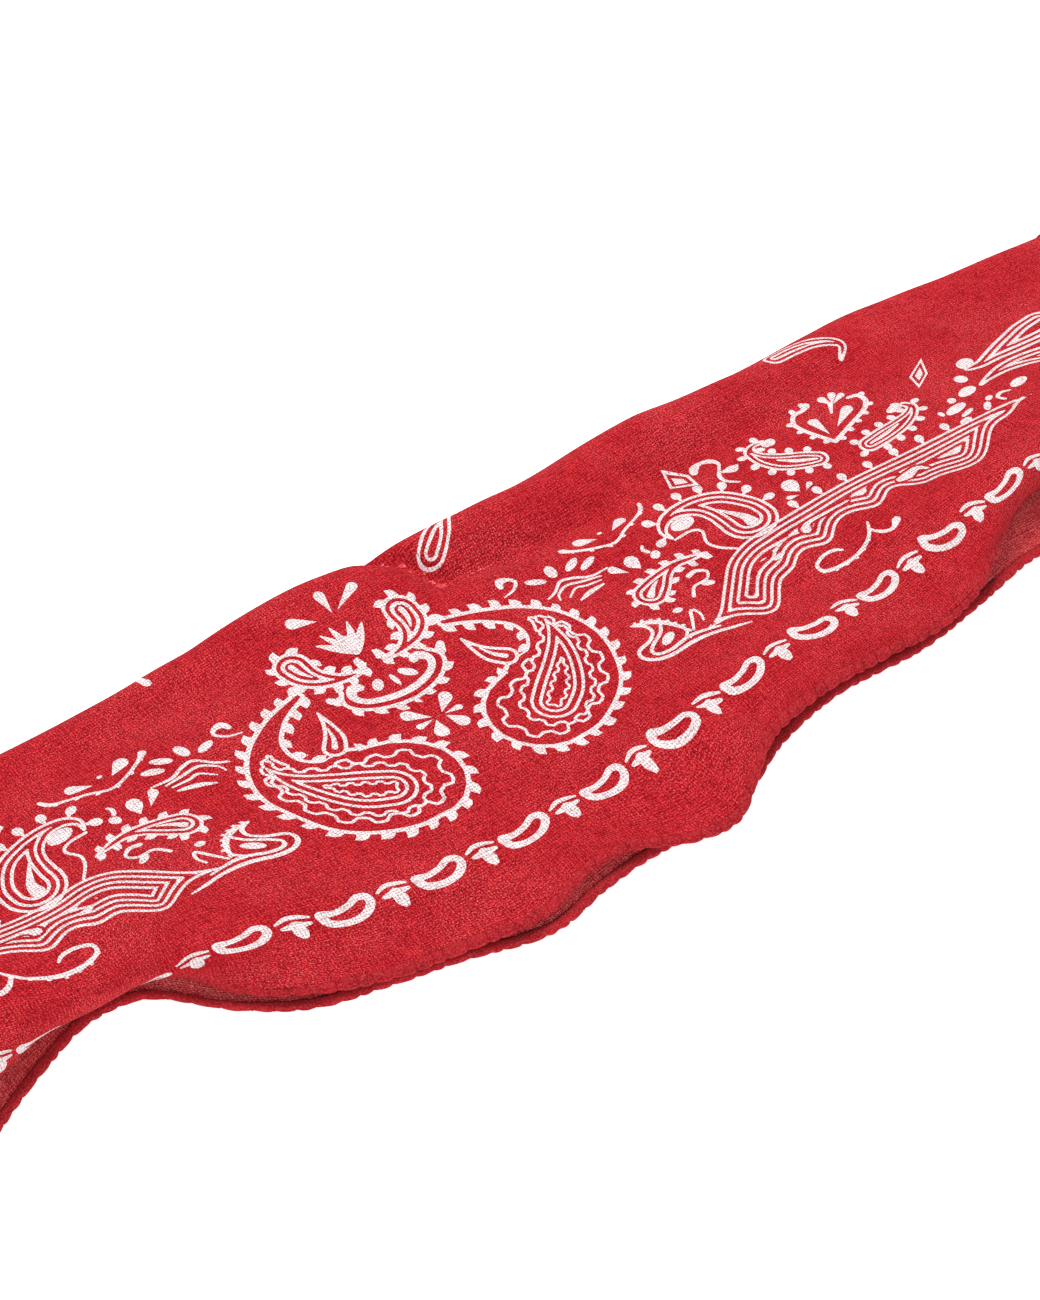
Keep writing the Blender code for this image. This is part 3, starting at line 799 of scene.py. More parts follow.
def frilledBand(stop=None):
    look = bandLook
    above = np.arange(look["from"], look["to"] + 0.1, look["upperStep"])
    below = np.arange(look["to"] - look["tipStep"], look["from"] + look["tipStep"], -look["lowerStep"])
    points = [*zip(above, bandUpper(above)), *zip(below, bandLower(below))]
    outline = smoothLine(points, look["lineStep"])
    return outline if stop is None else outline[outline[:, 0] < stop]


def bandExtras():
    # beads above the band, and the loose shapes that lie inside it
    beaded = np.arange(180.0, 112.0, -6.0)
    made = balls(smoothLine([*zip(beaded, bandUpper(beaded))]), 8.8, 2.3, 2.7)
    for rows in (((118.6, 53.2, 3.0), (121.0, 54.8, 1.3), (127.0, 54.6, 1.0), (135.0, 53.6, 0.6)),
                 ((151.4, 49.6, 2.0), (154.4, 49.4, 3.0), (158.4, 49.8, 1.8), (160.4, 47.4, 0.7))):
        around = leafOutline([(along, across, width / 2.0 + 0.8) for along, across, width in rows])
        made += [(around, clearGround)] + stroke(*rows)
    made += each(oval, (170.4, 46.2, 3.0, 2.0, 0), (106.4, 50.9, 4.4, 1.5, 6))
    return made


def sprigUnder():
    stem = ((120.6, 41.4, 0.7), (118.6, 42.8, 1.0), (115.0, 43.2, 1.0), (111.6, 41.9, 1.1),
            (112.2, 39.4, 1.1), (117.0, 37.9, 1.1), (123.0, 37.7, 1.1), (128.6, 39.4, 1.1),
            (131.4, 41.8, 1.0), (132.6, 43.6, 0.8))
    made = stroke(*stem)
    made += cogs(middleOf(stem)[12:], 3.4, 0.9, 1.2, lean=0.0)
    made += stroke((131.6, 40.8, 0.8), (133.4, 38.2, 1.1), (136.0, 36.8, 1.2), (138.8, 38.2, 2.6))
    return made


def ballPaisley():
    body = ((110.6, 67.4, 8.4), (110.4, 71.0, 8.2), (108.2, 76.4, 6.8), (103.8, 80.8, 4.4), (98.0, 83.0, 2.6),
            (93.0, 82.4, 1.9), (90.2, 79.6, 1.3), (90.4, 76.2, 0.5))
    outline = leafOutline(body)
    made = balls(outline[: int(len(outline) * 0.5)], 6.0, 2.5, 2.8)
    made += rings(body, (0.0,), 0.95)
    made += rings(body[:6], (2.1, 4.3), 0.9)
    made += stroke((110.6, 65.6, 3.8), (110.4, 69.0, 2.4), (107.8, 74.0, 1.0), (105.4, 77.6, 0.5))
    made += oval(96.2, 78.4, 7.4, 4.6, -8)
    made += stroke((90.6, 75.2, 0.8), (96.0, 74.8, 0.9), (98.2, 72.6, 0.9), (96.2, 68.6, 0.9),
                   (97.2, 65.0, 0.9), (100.4, 60.8, 0.8))
    return made


def scrollAndDiamonds():
    made = stroke((114.4, 93.0, 2.0), (115.6, 94.6, 2.6), (118.6, 95.4, 1.3), (121.4, 94.2, 2.0),
                  (121.8, 91.6, 1.1), (119.6, 88.8, 0.9), (117.4, 86.2, 1.3), (117.2, 83.4, 1.1),
                  (119.8, 80.6, 0.6))
    made += stroke((119.6, 87.2, 1.2), (122.4, 86.4, 3.2), (124.4, 86.8, 0.8))
    made += fourSided(((110.8, 87.2), (112.8, 93.6), (107.6, 99.4), (104.2, 91.8)))
    made += fourSided(((186.2, 77.6), (193.6, 82.0), (197.4, 89.2), (188.2, 84.0)))
    return made


def beadedPaisley(body, last=None):
    # beads round a small paisley, and two lines inside it
    made = balls(leafOutline(body)[:last], 4.9, 1.1, 2.4)
    made += rings(body, (0.0,), 0.9)
    return made + rings(body[:5], (1.7,), 0.7)


def tallPaisley():
    body = ((142.0, 73.4, 3.5), (138.8, 75.8, 4.2), (134.4, 79.4, 4.0), (131.2, 84.0, 3.0),
            (130.8, 88.4, 2.0), (133.6, 91.2, 1.3), (137.4, 91.0, 1.0))
    made = beadedPaisley(body, last=-4)
    made += oval(138.4, 89.2, 4.4, 3.4, 45)
    made += stroke((142.0, 73.4, 0.8), (137.8, 76.6, 1.6), (134.0, 80.8, 0.7))
    return made


def heartPair():
    left = ((151.2, 75.6, 1.6), (150.0, 80.5, 1.4), (149.0, 86.0, 1.4), (149.3, 91.0, 1.5),
            (151.8, 94.3, 1.3), (155.2, 94.4, 1.3), (157.4, 95.4, 2.5))
    right = ((151.2, 75.6, 1.6), (156.4, 77.4, 1.4), (162.4, 79.4, 1.4), (168.0, 81.6, 1.5),
             (171.4, 84.8, 1.7), (171.2, 88.2, 1.7), (168.4, 89.3, 1.0))
    made = stroke(*left) + stroke(*right)
    made += balls(middleOf(left), 4.6, 1.0, 2.0, side=1.0)
    made += balls(middleOf(right), 4.6, 1.0, 2.0)
    made += each(drop, (152.6, 79.6, 10.2, 3.3, 82), (156.4, 80.6, 11.2, 3.6, 30))
    made += stroke((160.4, 87.4, 0.7), (163.4, 91.4, 1.6))
    made += each(drop, (163.4, 90.6, 5.2, 2.6, 100), (163.6, 90.6, 5.6, 2.6, 52),
                       (163.6, 90.4, 5.8, 2.2, 18))
    return made


def lyingPaisley():
    body = ((157.2, 67.6, 3.5), (163.0, 67.4, 3.9), (168.8, 67.5, 3.5), (174.2, 68.9, 2.6),
            (177.6, 71.8, 1.8), (177.2, 74.8, 1.3))
    made = beadedPaisley(body)
    made += stroke((157.4, 67.6, 0.8), (163.0, 67.4, 1.4), (168.6, 67.9, 0.7))
    made += oval(174.0, 75.2, 6.0, 3.6, 8)
    made += each(drop, (128.6, 66.0, 6.4, 5.0, 92), (127.4, 65.0, 3.8, 1.8, 160),
                       (130.2, 65.2, 3.8, 1.8, 28))
    return made


cornerSeeds = (             # along, across, length, width, angle
    (197.3, 72.3, 5.0, 4.0, 60),
    (193.0, 65.0, 7.4, 4.2, 20),
    (186.3, 64.2, 3.2, 2.6, 60),
    (184.2, 60.2, 7.4, 3.5, 4),
    (179.6, 61.4, 2.6, 1.6, 90),
    (185.0, 56.4, 5.0, 1.8, 10),
    (182.0, 53.8, 4.2, 2.6, 4),
    (190.8, 54.4, 4.4, 2.2, 48),
    (194.0, 57.2, 3.0, 2.0, 30),
    (207.0, 59.4, 8.2, 3.6, 24),
)


def corner():
    made = each(oval, *cornerSeeds)
    made += stroke((196.6, 53.4, 1.0), (195.8, 55.6, 1.2), (198.4, 57.2, 1.2), (201.4, 56.6, 0.7))
    made += rings(((238.0, 83.6, 6.6), (230.4, 82.0, 6.0), (222.0, 79.6, 4.6), (214.0, 77.4, 3.0),
                   (207.6, 75.6, 1.9), (203.4, 76.0, 1.5)), (0.0, 2.0, 4.0), 1.0)
    made += oval(204.6, 78.8, 6.4, 5.0, 40)
    made += rings(((236.0, 66.6, 5.6), (228.0, 68.6, 4.9), (219.0, 70.0, 3.6), (210.0, 69.6, 2.3),
                   (203.4, 67.6, 1.4), (198.6, 65.4, 0.7)), (0.0, 2.0, 4.0), 1.0)
    return made


looseDrops = tableOf(       # small double paisleys in the field: where the bulb lies, and which way it points
    "along across angle",
    (35.0, 110.4, 38),
    (-168.0, 112.0, 200),
    (-112.0, 132.0, 60),
    (108.0, 132.0, 24),
    (-198.0, 134.0, 100),
    (-196.0, 162.0, 15),
    (-132.0, 184.0, 200),
    (-70.0, 158.0, 100),
    (-8.0, 178.0, 330),
    (58.0, 158.0, 220),
    (122.0, 186.0, 80),
    (186.0, 160.0, 160),
    (-160.0, 226.0, 290),
    (-84.0, 218.0, 30),
    (-20.0, 236.0, 150),
    (48.0, 216.0, 350),
    (112.0, 238.0, 260),
    (176.0, 222.0, 60),
)


def fieldPrint():
    made = []
    shape = ((0.0, 0.0, 3.7), (4.1, 0.0, 3.6), (9.6, -0.2, 2.8), (15.6, -0.6, 1.6), (22.0, -1.0, 0.5))
    for loose in looseDrops:
        made += rings(turnedRows(loose.along, loose.across, loose.angle, shape), (0.0, 1.9), 0.85)
    bent = ((163.4, 115.6, 3.1), (169.6, 115.2, 3.2), (175.6, 113.8, 2.9), (180.4, 110.8, 2.3),
            (182.2, 107.4, 1.5), (178.6, 103.6, 0.8))
    made += rings(bent, (0.0, 1.9), 0.85)
    made += stroke((-48.2, 117.4, 2.6), (-48.4, 121.0, 1.8), (-46.2, 126.0, 0.7))
    return made


chainLook = {
    "across": 23.5,
    "pitch": 25.05,
    "first": -7.0,          # middle of the ring that lies nearest the middle of the side
    "fleuron": 12.9,        # from the middle of a ring to the next fleuron
    "tilted": -24.0,
    "upright": 3.0,
    "tuckedAt": -128.0,     # here the chain slips down into the tuck behind the hem
    "tuckedOver": 30.0,
    "tuckedBy": 4.5,
    "sideShift": 8.5,       # the chains along the ends lie nearer to their hems
    "sideFrom": 34.0,
    "sideGap": (98.0, 137.0),   # they stay clear of the back fold
    "ringClear": 8.0,       # room that a ring and a fleuron need before the corner
    "fleuronClear": 6.0,
    "fleuronTilt": 0.6,     # share of the ring's tilt
}


def turnedStrokes(along, across, angle, *lines):
    return each(stroke, *(turnedRows(along, across, angle, rows) for rows in lines))


def chainRing(along, across, angle):
    under = ((-6.0, 1.7, 2.6), (-5.3, -1.2, 2.2), (-1.2, -2.7, 1.8), (3.4, -2.1, 2.0), (6.2, 0.2, 2.2),
             (6.0, 2.2, 2.2))
    over = ((-5.8, 1.9, 2.2), (-2.8, 1.2, 1.7), (1.0, 1.7, 1.6), (4.0, 2.9, 1.8), (6.0, 2.2, 2.2))
    return turnedStrokes(along, across, angle, under, over)


def chainFleuron(along, across, angle):
    cap = ((-4.0, 2.2, 0.7), (-1.4, 3.2, 1.3), (1.2, 2.9, 1.3), (3.7, 1.9, 0.7))
    arms = ((-3.3, 0.3, 1.0), (0.0, 0.3, 2.2), (3.2, 0.1, 1.0))
    foot = ((0.0, 0.6, 2.6), (0.1, -1.8, 3.4), (0.2, -2.9, 2.6))
    return turnedStrokes(along, across, angle, cap, arms, foot)


def chainAcross(along):
    slip = math.exp(-((along - chainLook["tuckedAt"]) / chainLook["tuckedOver"]) ** 4)
    return chainLook["across"] - chainLook["tuckedBy"] * slip


def chain():
    made = []
    look = chainLook
    reach = half - look["across"]
    count = int(reach // look["pitch"])
    for k in range(-count, count + 1):
        along = look["first"] + k * look["pitch"]
        angle = look["tilted"] if k > 1 and k % 2 == 0 else look["upright"]
        if abs(along) < reach - look["ringClear"]:
            made += chainRing(along, chainAcross(along), angle)
        along += look["fleuron"]
        if abs(along) < reach - look["fleuronClear"]:
            made += chainFleuron(along, chainAcross(along), angle * look["fleuronTilt"])
    return made


pull = {                    # how the print has been pulled askew on the left of its middle
    "lean": 0.1,
    "leanFrom": 88.0,
    "leanReach": 60.0,
    "rise": 6.0,
    "riseFrom": -38.0,
    "riseOver": 32.0,
    "aboveHem": 27.0,
    "aboveHemOver": 12.0,
    "endsPast": 16.0,       # past the shoulder of the back fold
    "endsOver": 30.0,
}


def pulled(points):
    along, across = points[:, 0], points[:, 1]
    onTop = (across < stops["underBack"]) & (along < 0)
    lean = pull["lean"] * (pull["leanFrom"] - across) * np.exp(-(along / pull["leanReach"]) ** 2)
    rise = pull["rise"] * easeInOut((pull["riseFrom"] - along) / pull["riseOver"])
    rise *= easeInOut((stops["shoulder"] + pull["endsPast"] - across) / pull["endsOver"])
    share = onTop * easeInOut((across - pull["aboveHem"]) / pull["aboveHemOver"])
    return points + np.stack((lean, rise), axis=1) * share[:, None]


def flipped(motif):
    return [(outline * (-1.0, 1.0), colour) for outline, colour in motif]


def onNextSide(outline):
    # the same border on the next side of the square
    return np.stack((half - outline[:, 1], half - outline[:, 0]), axis=1)


def wholePrint():
    border = []
    for motif in (bigPaisley, upperPaisley, petalSpray, hookAndPetals, bracketSpray, bandExtras, leafTip,
                  lowPaisley, sprigUnder, ballPaisley, scrollAndDiamonds, tallPaisley, heartPair,
                  lyingPaisley, corner):
        border += motif()
    nearer = (0.0, chainLook["sideShift"])
    sideChain = [(onNextSide(outline - nearer), colour) for outline, colour in chain()]
    low, high = chainLook["sideGap"]
    sideChain = [(outline, colour) for outline, colour in sideChain
                 if outline[:, 1].min() > chainLook["sideFrom"] and not low < outline[:, 1].mean() < high]
    layout = border + flipped(border) + crescentBoat() + lotusAndPetals() + chain() + fieldPrint()
    layout += sideChain + flipped(sideChain)
    layout = [(pulled(outline), colour) for outline, colour in layout]
    return [(outline, colour) for outline, colour in layout if outline[:, 1].max() < stops["frontFold"]]


def farChain():
    # the chain along the opposite hem
    return [(outline * (1.0, -1.0) + (0.0, scarf["side"]), colour) for outline, colour in chain()]


def allBands():
    right = frilledBand()
    side = onNextSide(frilledBand(bandLook["endCut"]))
    return [pulled(outline) for outline in (right, right * (-1.0, 1.0), side, side * (-1.0, 1.0))]


# the print is cut into the cloth as faces
print("cloth")
clothMesh = {
    "alongStep": 3.0,
    "topStep": 2.6,
    "fineStep": 1.3,
    "fineAt": ((8, 90), (66, 134)),     # from and to (along, across), where a sharp tuck lies
    "edgeStep": 1.3,
    "foldStep": 1.6,
    "hiddenStep": 8.0,
    "edge": 2.4,            # the cloth goes this near to its hemmed edge, inside the hem
    "foldRows": 7,
    "outside": -5.0,        # depth written where no lined band is near
    "nearBand": 4.0,
}


def gridAcross():
    # rows of the mesh: close at the hems and round the folds, wide where the cloth is hidden.
    # Each run gives its start, its end and its step, and stops short of the next one.
    look = clothMesh
    edge, border, side, margin = look["edge"], leafMarks[1], scarf["side"], stops["margin"]
    runs = (
        (edge, border, look["edgeStep"]),
        (border, stops["shoulder"] - 1.0, look["topStep"]),
        (stops["shoulder"], stops["underBack"] + 2.0, look["foldStep"]),
        (stops["underBack"] + 6.0, stops["frontFold"] - 2.0, look["hiddenStep"]),
        (stops["thirdLayer"] + 4.0, stops["innerFold"] - 2.0, look["hiddenStep"]),
        (stops["secondLayer"] + 4.0, margin - 32.0, look["hiddenStep"]),
        (margin - 30.0, side - border, look["topStep"]),
        (side - border, side - edge - 0.7, look["edgeStep"]),
    )
    rows = [np.arange(*run) for run in runs]
    for start, stop in (("frontFold", "thirdLayer"), ("innerFold", "secondLayer")):
        rows.append(np.linspace(stops[start], stops[stop], look["foldRows"]))
    return np.sort(np.concatenate(rows + [[side - edge]]))


def insideOf(points, outline):
    # winding number, so that an outline may lap over itself
    a = outline[:, None, :] - points[None, :, :]
    b = np.roll(outline, -1, axis=0)[:, None, :] - points[None, :, :]
    up = (a[..., 1] <= 0) & (b[..., 1] > 0)
    down = (a[..., 1] > 0) & (b[..., 1] <= 0)
    cross = a[..., 0] * b[..., 1] - a[..., 1] * b[..., 0]
    return ((up & (cross > 0)).sum(axis=0) - (down & (cross < 0)).sum(axis=0)) != 0


def nearTo(points, outline, reach):
    low, high = outline.min(axis=0) - reach, outline.max(axis=0) + reach
    return np.flatnonzero(((points >= low) & (points <= high)).all(axis=1))


def depthIn(points, outline):
    # distance to the outline, above zero on its inner side
    nearest = np.full(len(points), np.inf)
    for start, stop in zip(outline, np.roll(outline, -1, axis=0)):
        run = stop - start
        share = np.clip((points - start) @ run / max(run @ run, 1e-12), 0.0, 1.0)
        nearest = np.minimum(nearest, np.linalg.norm(points - start - share[:, None] * run, axis=1))
    return np.where(insideOf(points, outline), nearest, -nearest)


def bandDepths(flat):
    depths = np.full(len(flat), clothMesh["outside"])
    for outline in allBands():
        near = nearTo(flat, outline, clothMesh["nearBand"])
        depths[near] = np.maximum(depths[near], depthIn(flat[near], outline))
    return depths


def bandPoints():
    # more points where a band or a sharp crease needs them
    step = bandLook["meshStep"]
    (fromAlong, fromAcross), (toAlong, toAcross) = clothMesh["fineAt"]
    points = [(along, across) for along in np.arange(fromAlong, toAlong, clothMesh["fineStep"])
              for across in np.arange(fromAcross, toAcross, clothMesh["fineStep"])]
    for outline in allBands():
        low, high = outline.min(axis=0), outline.max(axis=0)
        columns, rows = np.arange(low[0], high[0], step), np.arange(low[1], high[1], step)
        grid = np.stack(np.meshgrid(columns, rows), axis=-1).reshape(-1, 2)
        points += grid[depthIn(grid, outline) > -step].tolist()
    return points


def flatCloth(layout, extraPoints):
    # the flat cloth in triangles, and which of them are printed
    points = list(extraPoints)
    edges = []
    for outline, colour in layout:
        first = len(points)
        points += outline.tolist()
        edges += [(first + k, first + (k + 1) % len(outline)) for k in range(len(outline))]
    reach = half - clothMesh["edge"]
    columns = np.linspace(-reach, reach, int(round(2 * reach / clothMesh["alongStep"])) + 1)
    points += [(along, across) for across in gridAcross() for along in columns]
    made = delaunay_2d_cdt([Vector(point) for point in points], edges, [], 0, 1e-4, False)
    flat = np.array([tuple(point) for point in made[0]])
    faces = np.array(made[2])
    middles = flat[faces].mean(axis=1)
    printed = np.zeros(len(faces))
    order = np.argsort(middles[:, 0])
    sortedAlong = middles[order, 0]
    for outline, colour in layout:
        low, high = outline.min(axis=0), outline.max(axis=0)
        near = order[np.searchsorted(sortedAlong, low[0]): np.searchsorted(sortedAlong, high[0])]
        near = near[(middles[near, 1] >= low[1]) & (middles[near, 1] <= high[1])]
        if len(near):
            printed[near[insideOf(middles[near], outline)]] = colour
    return flat, faces, printed


def borderLoop(flat):
    # indices round the four edges of the flat cloth, in order
    low, high = flat.min(axis=0), flat.max(axis=0)
    loop = []
    for side, keep, run in ((1, low[1], 0), (0, high[0], 1), (1, high[1], 0), (0, low[0], 1)):
        found = np.flatnonzero(np.abs(flat[:, side] - keep) < 1e-3)
        found = found[np.argsort(flat[found, run])]
        if (side, keep) in ((1, high[1]), (0, low[0])):
            found = found[::-1]
        loop += found[:-1].tolist()
    return np.array(loop)


def addPiece(name, points, faces):
    mesh = bpy.data.meshes.new(name)
    placed = (np.asarray(points) + (0.0, scarf["bandShift"], 0.0)) * millimetre
    mesh.from_pydata(placed.tolist(), [], faces)
    mesh.shade_smooth()
    return addObject(name, mesh)


def scarfCloth():
    margin = farChain()
    front, frontFaces, frontPrint = flatCloth(wholePrint() + margin, bandPoints())
    back, backFaces, backPrint = flatCloth(margin, [])
    face = printedFace(front[:, 0], front[:, 1])
    backNormals = outwardOf(printedFace, back[:, 0], back[:, 1])
    reverse = printedFace(back[:, 0], back[:, 1]) - backNormals * scarf["clothThick"]
    count = len(front)
    frontRim, backRim = borderLoop(front), borderLoop(back) + count
    rim = list(zip(np.roll(frontRim, -1), frontRim, backRim, np.roll(backRim, -1)))
    faces = frontFaces.tolist() + (backFaces[:, ::-1] + count).tolist() + rim
    piece = addPiece("scarf_cloth", np.concatenate((face, reverse)), faces)
    mesh = piece.data
    flat = np.concatenate((front, back))
    corners = np.zeros(len(mesh.loops), np.int32)
    mesh.loops.foreach_get("vertex_index", corners)
    layer = mesh.uv_layers.new(name="flatCloth")
    layer.data.foreach_set("uv", (flat[corners] * millimetre).ravel())
    normals = np.concatenate((outwardOf(printedFace, front[:, 0], front[:, 1]), -backNormals))
    mesh.normals_split_custom_set_from_vertices(normals.tolist())
    printed = np.concatenate((frontPrint, backPrint, np.zeros(len(rim))))
    mesh.attributes.new("printed", "FLOAT", "FACE").data.foreach_set("value", printed)
    depths = np.concatenate((bandDepths(front), np.full(len(back), clothMesh["outside"])))
    mesh.attributes.new("bandDepth", "FLOAT", "POINT").data.foreach_set("value", depths)
    sides = np.repeat((0, 1, 1), (len(frontFaces), len(backFaces), len(rim)))
    mesh.polygons.foreach_set("material_index", sides.astype(np.int32))
    print("faces of the printed side", len(frontFaces), "of the other side", len(backFaces))
    return piece


cloth = scarfCloth()


print("hems")
hemLook = {
    "width": 3.3,
    "thick": 1.75,
    "proud": 0.32,          # how far the roll stands above the printed face
    "scallopDepth": 0.3,    # share of the width that is pulled in at a stitch
    "scallopShift": 0.18,
    "step": 0.55,
    "corners": 12,
    "squareness": 0.75,
    "roundness": 0.6,       # of each scallop
    "flattened": 0.6,       # how much of that pull the thickness takes too
    "floorClear": 0.02,
}
stitchLook = {
    "radius": 0.15,
    "slant": 1.5,
    "sides": 5,
    "steps": 8,
    "start": -0.35,         # turn round the roll, from the hem's outer side
    "end": 3.4,
    "clear": 0.1,
    "loosen": 0.1,          # the loop widens by this for each unit of turn
}


def hemPath(kind, steps):
    # middle of the roll, the way into the cloth and out of its face, half its width and height,
    # the way along it, and the count of stitches
    inset = scarf["hemWidth"] / 2.0
    if kind in ("upper", "lower"):
        at = np.linspace(-half, half, steps)
        edge = 0.0 if kind == "upper" else scarf["side"]
        inner = inset if kind == "upper" else scarf["side"] - inset
        face = layCloth(at, np.full(steps, inner))
        into = face - layCloth(at, np.full(steps, edge))
    else:
        side = -1.0 if kind == "left" else 1.0
        at = np.linspace(0.0, scarf["side"], steps)
        face = layCloth(np.full(steps, side * (half - inset)), at)
        into = np.tile((-side, 0.0, 0.0), (steps, 1))
    into = unitRows(into)
    travel = unitRows(np.gradient(face, axis=0))
    out = unitRows(np.cross(travel, into))
    if kind in ("lower", "left"):
        out = -out
    phase = scallopPhase(at)
    pinch = 1.0 - np.abs(np.sin(np.pi * phase)) ** hemLook["roundness"]
    wide = hemLook["width"] / 2 * (1.0 - hemLook["scallopDepth"] * pinch)
    high = hemLook["thick"] / 2 * (1.0 - hemLook["flattened"] * hemLook["scallopDepth"] * pinch)
    middle = face - out * (hemLook["thick"] / 2 - hemLook["proud"])
    middle += into * (hemLook["scallopShift"] * pinch)[:, None]
    middle[:, 2] = np.maximum(middle[:, 2], high + hemLook["floorClear"])
    return middle, into, out, wide, high, travel, phase


def rolledHem(kind, name, steps):
    middle, into, out, wide, high = hemPath(kind, steps)[:5]
    loops = []
    for turn in np.linspace(0, 2 * np.pi, hemLook["corners"], endpoint=False):
        cos, sin = math.cos(turn), math.sin(turn)
        squareCos = math.copysign(abs(cos) ** hemLook["squareness"], cos)
        squareSin = math.copysign(abs(sin) ** hemLook["squareness"], sin)
        loops.append(middle + into * (wide * squareCos)[:, None] + out * (high * squareSin)[:, None])
    points = np.stack(loops, axis=1)
    points[..., 2] = np.maximum(points[..., 2], hemLook["floorClear"])
    index = np.arange(points[..., 0].size).reshape(points.shape[:2])
    following = np.roll(index, -1, axis=1)
    quads = np.stack((index[:-1], following[:-1], following[1:], index[1:]), axis=-1).reshape(-1, 4)
    faces = [tuple(quad) for quad in quads] + [tuple(index[0][::-1]), tuple(index[-1])]
    return addPiece(name, points.reshape(-1, 3), faces)


def hemStitches(kind, name, steps):
    # one slanting loop of thread over the roll at each scallop
    middle, into, out, wide, high, travel, phase = hemPath(kind, steps)
    order = np.argsort(phase)
    at = np.interp(np.arange(math.ceil(phase.min()) + 1, int(phase.max())), phase[order], order)
    arc = np.linspace(stitchLook["start"], stitchLook["end"], stitchLook["steps"])
    corners = np.linspace(0, 2 * np.pi, stitchLook["sides"], endpoint=False)
    clear, loosen = stitchLook["clear"], stitchLook["loosen"]
    points = []
    faces = []
    for k in np.round(at).astype(int):
        line = np.array([middle[k] - into[k] * (wide[k] + clear + loosen * turn) * math.cos(turn)
                         + out[k] * (high[k] + clear) * math.sin(turn)
                         + travel[k] * stitchLook["slant"] * (turn / math.pi - 0.5) for turn in arc])
        run = unitRows(np.gradient(line, axis=0))
        aside = unitRows(np.cross(run, travel[k]))
        upright = np.cross(run, aside)
        first = len(points)
        for centre, x, y in zip(line, aside, upright):
            for turn in corners:
                point = centre + stitchLook["radius"] * (x * math.cos(turn) + y * math.sin(turn))
                points.append((point[0], point[1], max(point[2], hemLook["floorClear"])))
        sides = len(corners)
        for step in range(len(line) - 1):
            for corner in range(sides):
                a = first + step * sides + corner
                b = first + step * sides + (corner + 1) % sides
                faces.append((a, b, b + sides, a + sides))
        faces.append(tuple(first + corner for corner in reversed(range(sides))))
        faces.append(tuple(first + (len(line) - 1) * sides + corner for corner in range(sides)))
    return addPiece(name, points, faces)


hemSteps = int(scarf["side"] / hemLook["step"])
hems = {}
stitches = {}
for kind, node in (("upper", "front_hem_upper"), ("lower", "front_hem_lower"),
                   ("left", "side_hem_left"), ("right", "side_hem_right")):
    hems[kind] = rolledHem(kind, "rolled_hem_" + kind, hemSteps)
    stitches[kind] = hemStitches(kind, "hem_thread_" + kind, hemSteps)
    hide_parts(node)


print("finishes")
weave = {
    "pitch": 0.8,           # from one thread to the next
    "wander": 5.0,
    "softCrossing": 0.35,
    "slub": 0.8,            # how far the threads differ along their length
    "slubStretch": 0.16,
    # thread crests are painted lighter and their dips darker, as painted shade of the weave's relief
    "crestShade": 0.5,
    "nap": 1.1,
    "cloud": 0.12,
    "wornPatches": 30.0,    # patches to the metre where more loose fibres stand up
    "wanderPatches": 90.0,  # and those of the wander, the slubs, the nap and the clouds
    "slubPatches": 1400.0,
    "napPatches": 2600.0,
    "cloudPatches": 60.0,
    "bumpStrength": 0.6,
    "crestHeight": 0.7,
    "napHeight": 0.5,
}
softFabric = {
    "Roughness": 0.92,
    "Specular IOR Level": 0.03,
    "Sheen Weight": 0.04,
    "Sheen Roughness": 0.5,
    "Sheen Tint": (1.0, 0.5, 0.48, 1.0),
}
bumpDepth = 0.0003          # metres
noiseRoughness = 0.65
evenly = (1.0, 1.0, 1.0)
ranges = {                  # what a noise or a depth runs between, and what it is turned into
    "tone": (0.3, 0.7),
    "looseNap": (0.56, 0.68),
    "worn": (0.42, 0.64, 0.45, 1.7),
    "gapShade": (0.2, 0.9, 0.0, 0.8),
    "inkShade": (0.35, -0.6),
    "gapInInk": (0.25, 0.8),
    "napInInk": (0.34, 0.43, 0.4, 1.0),
    "inBand": (-0.05, 0.05),
    "hemCloud": (0.35, 0.65, 0.0, 0.5),
    "hemTwist": (0.48, 0.3, 0.0, 0.6),
    "hemFibre": (0.45, 0.72),
}
inkInGap = 0.35             # share of the ink that is left where the weave is open
printedLook = {
    "ground": (0.33, 0.0045, 0.010, 1.0),
    "bright": (0.60, 0.030, 0.038, 1.0),
    "deep": (0.16, 0.001, 0.005, 1.0),
    "fibre": (0.84, 0.30, 0.30, 1.0),
    "fibres": 0.4,
    "ink": (0.80, 0.745, 0.745, 1.0),
    "inkShade": (0.44, 0.30, 0.31, 1.0),
    "cover": 0.97,
}
# the wrong side is paler than the printed side, and its colours are brightened further as painted light: it
# stands in for light that comes through the thin cloth into the shaded gaps under the hems
wrongLook = {
    "ground": (0.58, 0.030, 0.040, 1.0),
    "bright": (0.84, 0.150, 0.150, 1.0),
    "deep": (0.24, 0.006, 0.012, 1.0),
    "fibre": (0.92, 0.50, 0.47, 1.0),
    "fibres": 0.8,
    "ink": (0.68, 0.28, 0.28, 1.0),
    "inkShade": (0.50, 0.10, 0.11, 1.0),
    "cover": 0.75,
}
threadLook = {
    "fibrePatches": 2300.0,
    "twistPatches": 900.0,
    "twistStretch": 0.35,
    "cloudPatches": 130.0,
    "bumpStrength": 0.45,
}
hemDye = {
    **threadLook,
    "ground": (0.34, 0.008, 0.015, 1.0),
    "bright": (0.64, 0.090, 0.090, 1.0),
    "deep": (0.16, 0.002, 0.006, 1.0),
    "fibres": 0.6,
}
threadDye = {
    **threadLook,
    "ground": (0.31, 0.006, 0.012, 1.0),
    "bright": (0.54, 0.06, 0.065, 1.0),
    "deep": (0.20, 0.002, 0.007, 1.0),
    "fibres": 0.4,
}


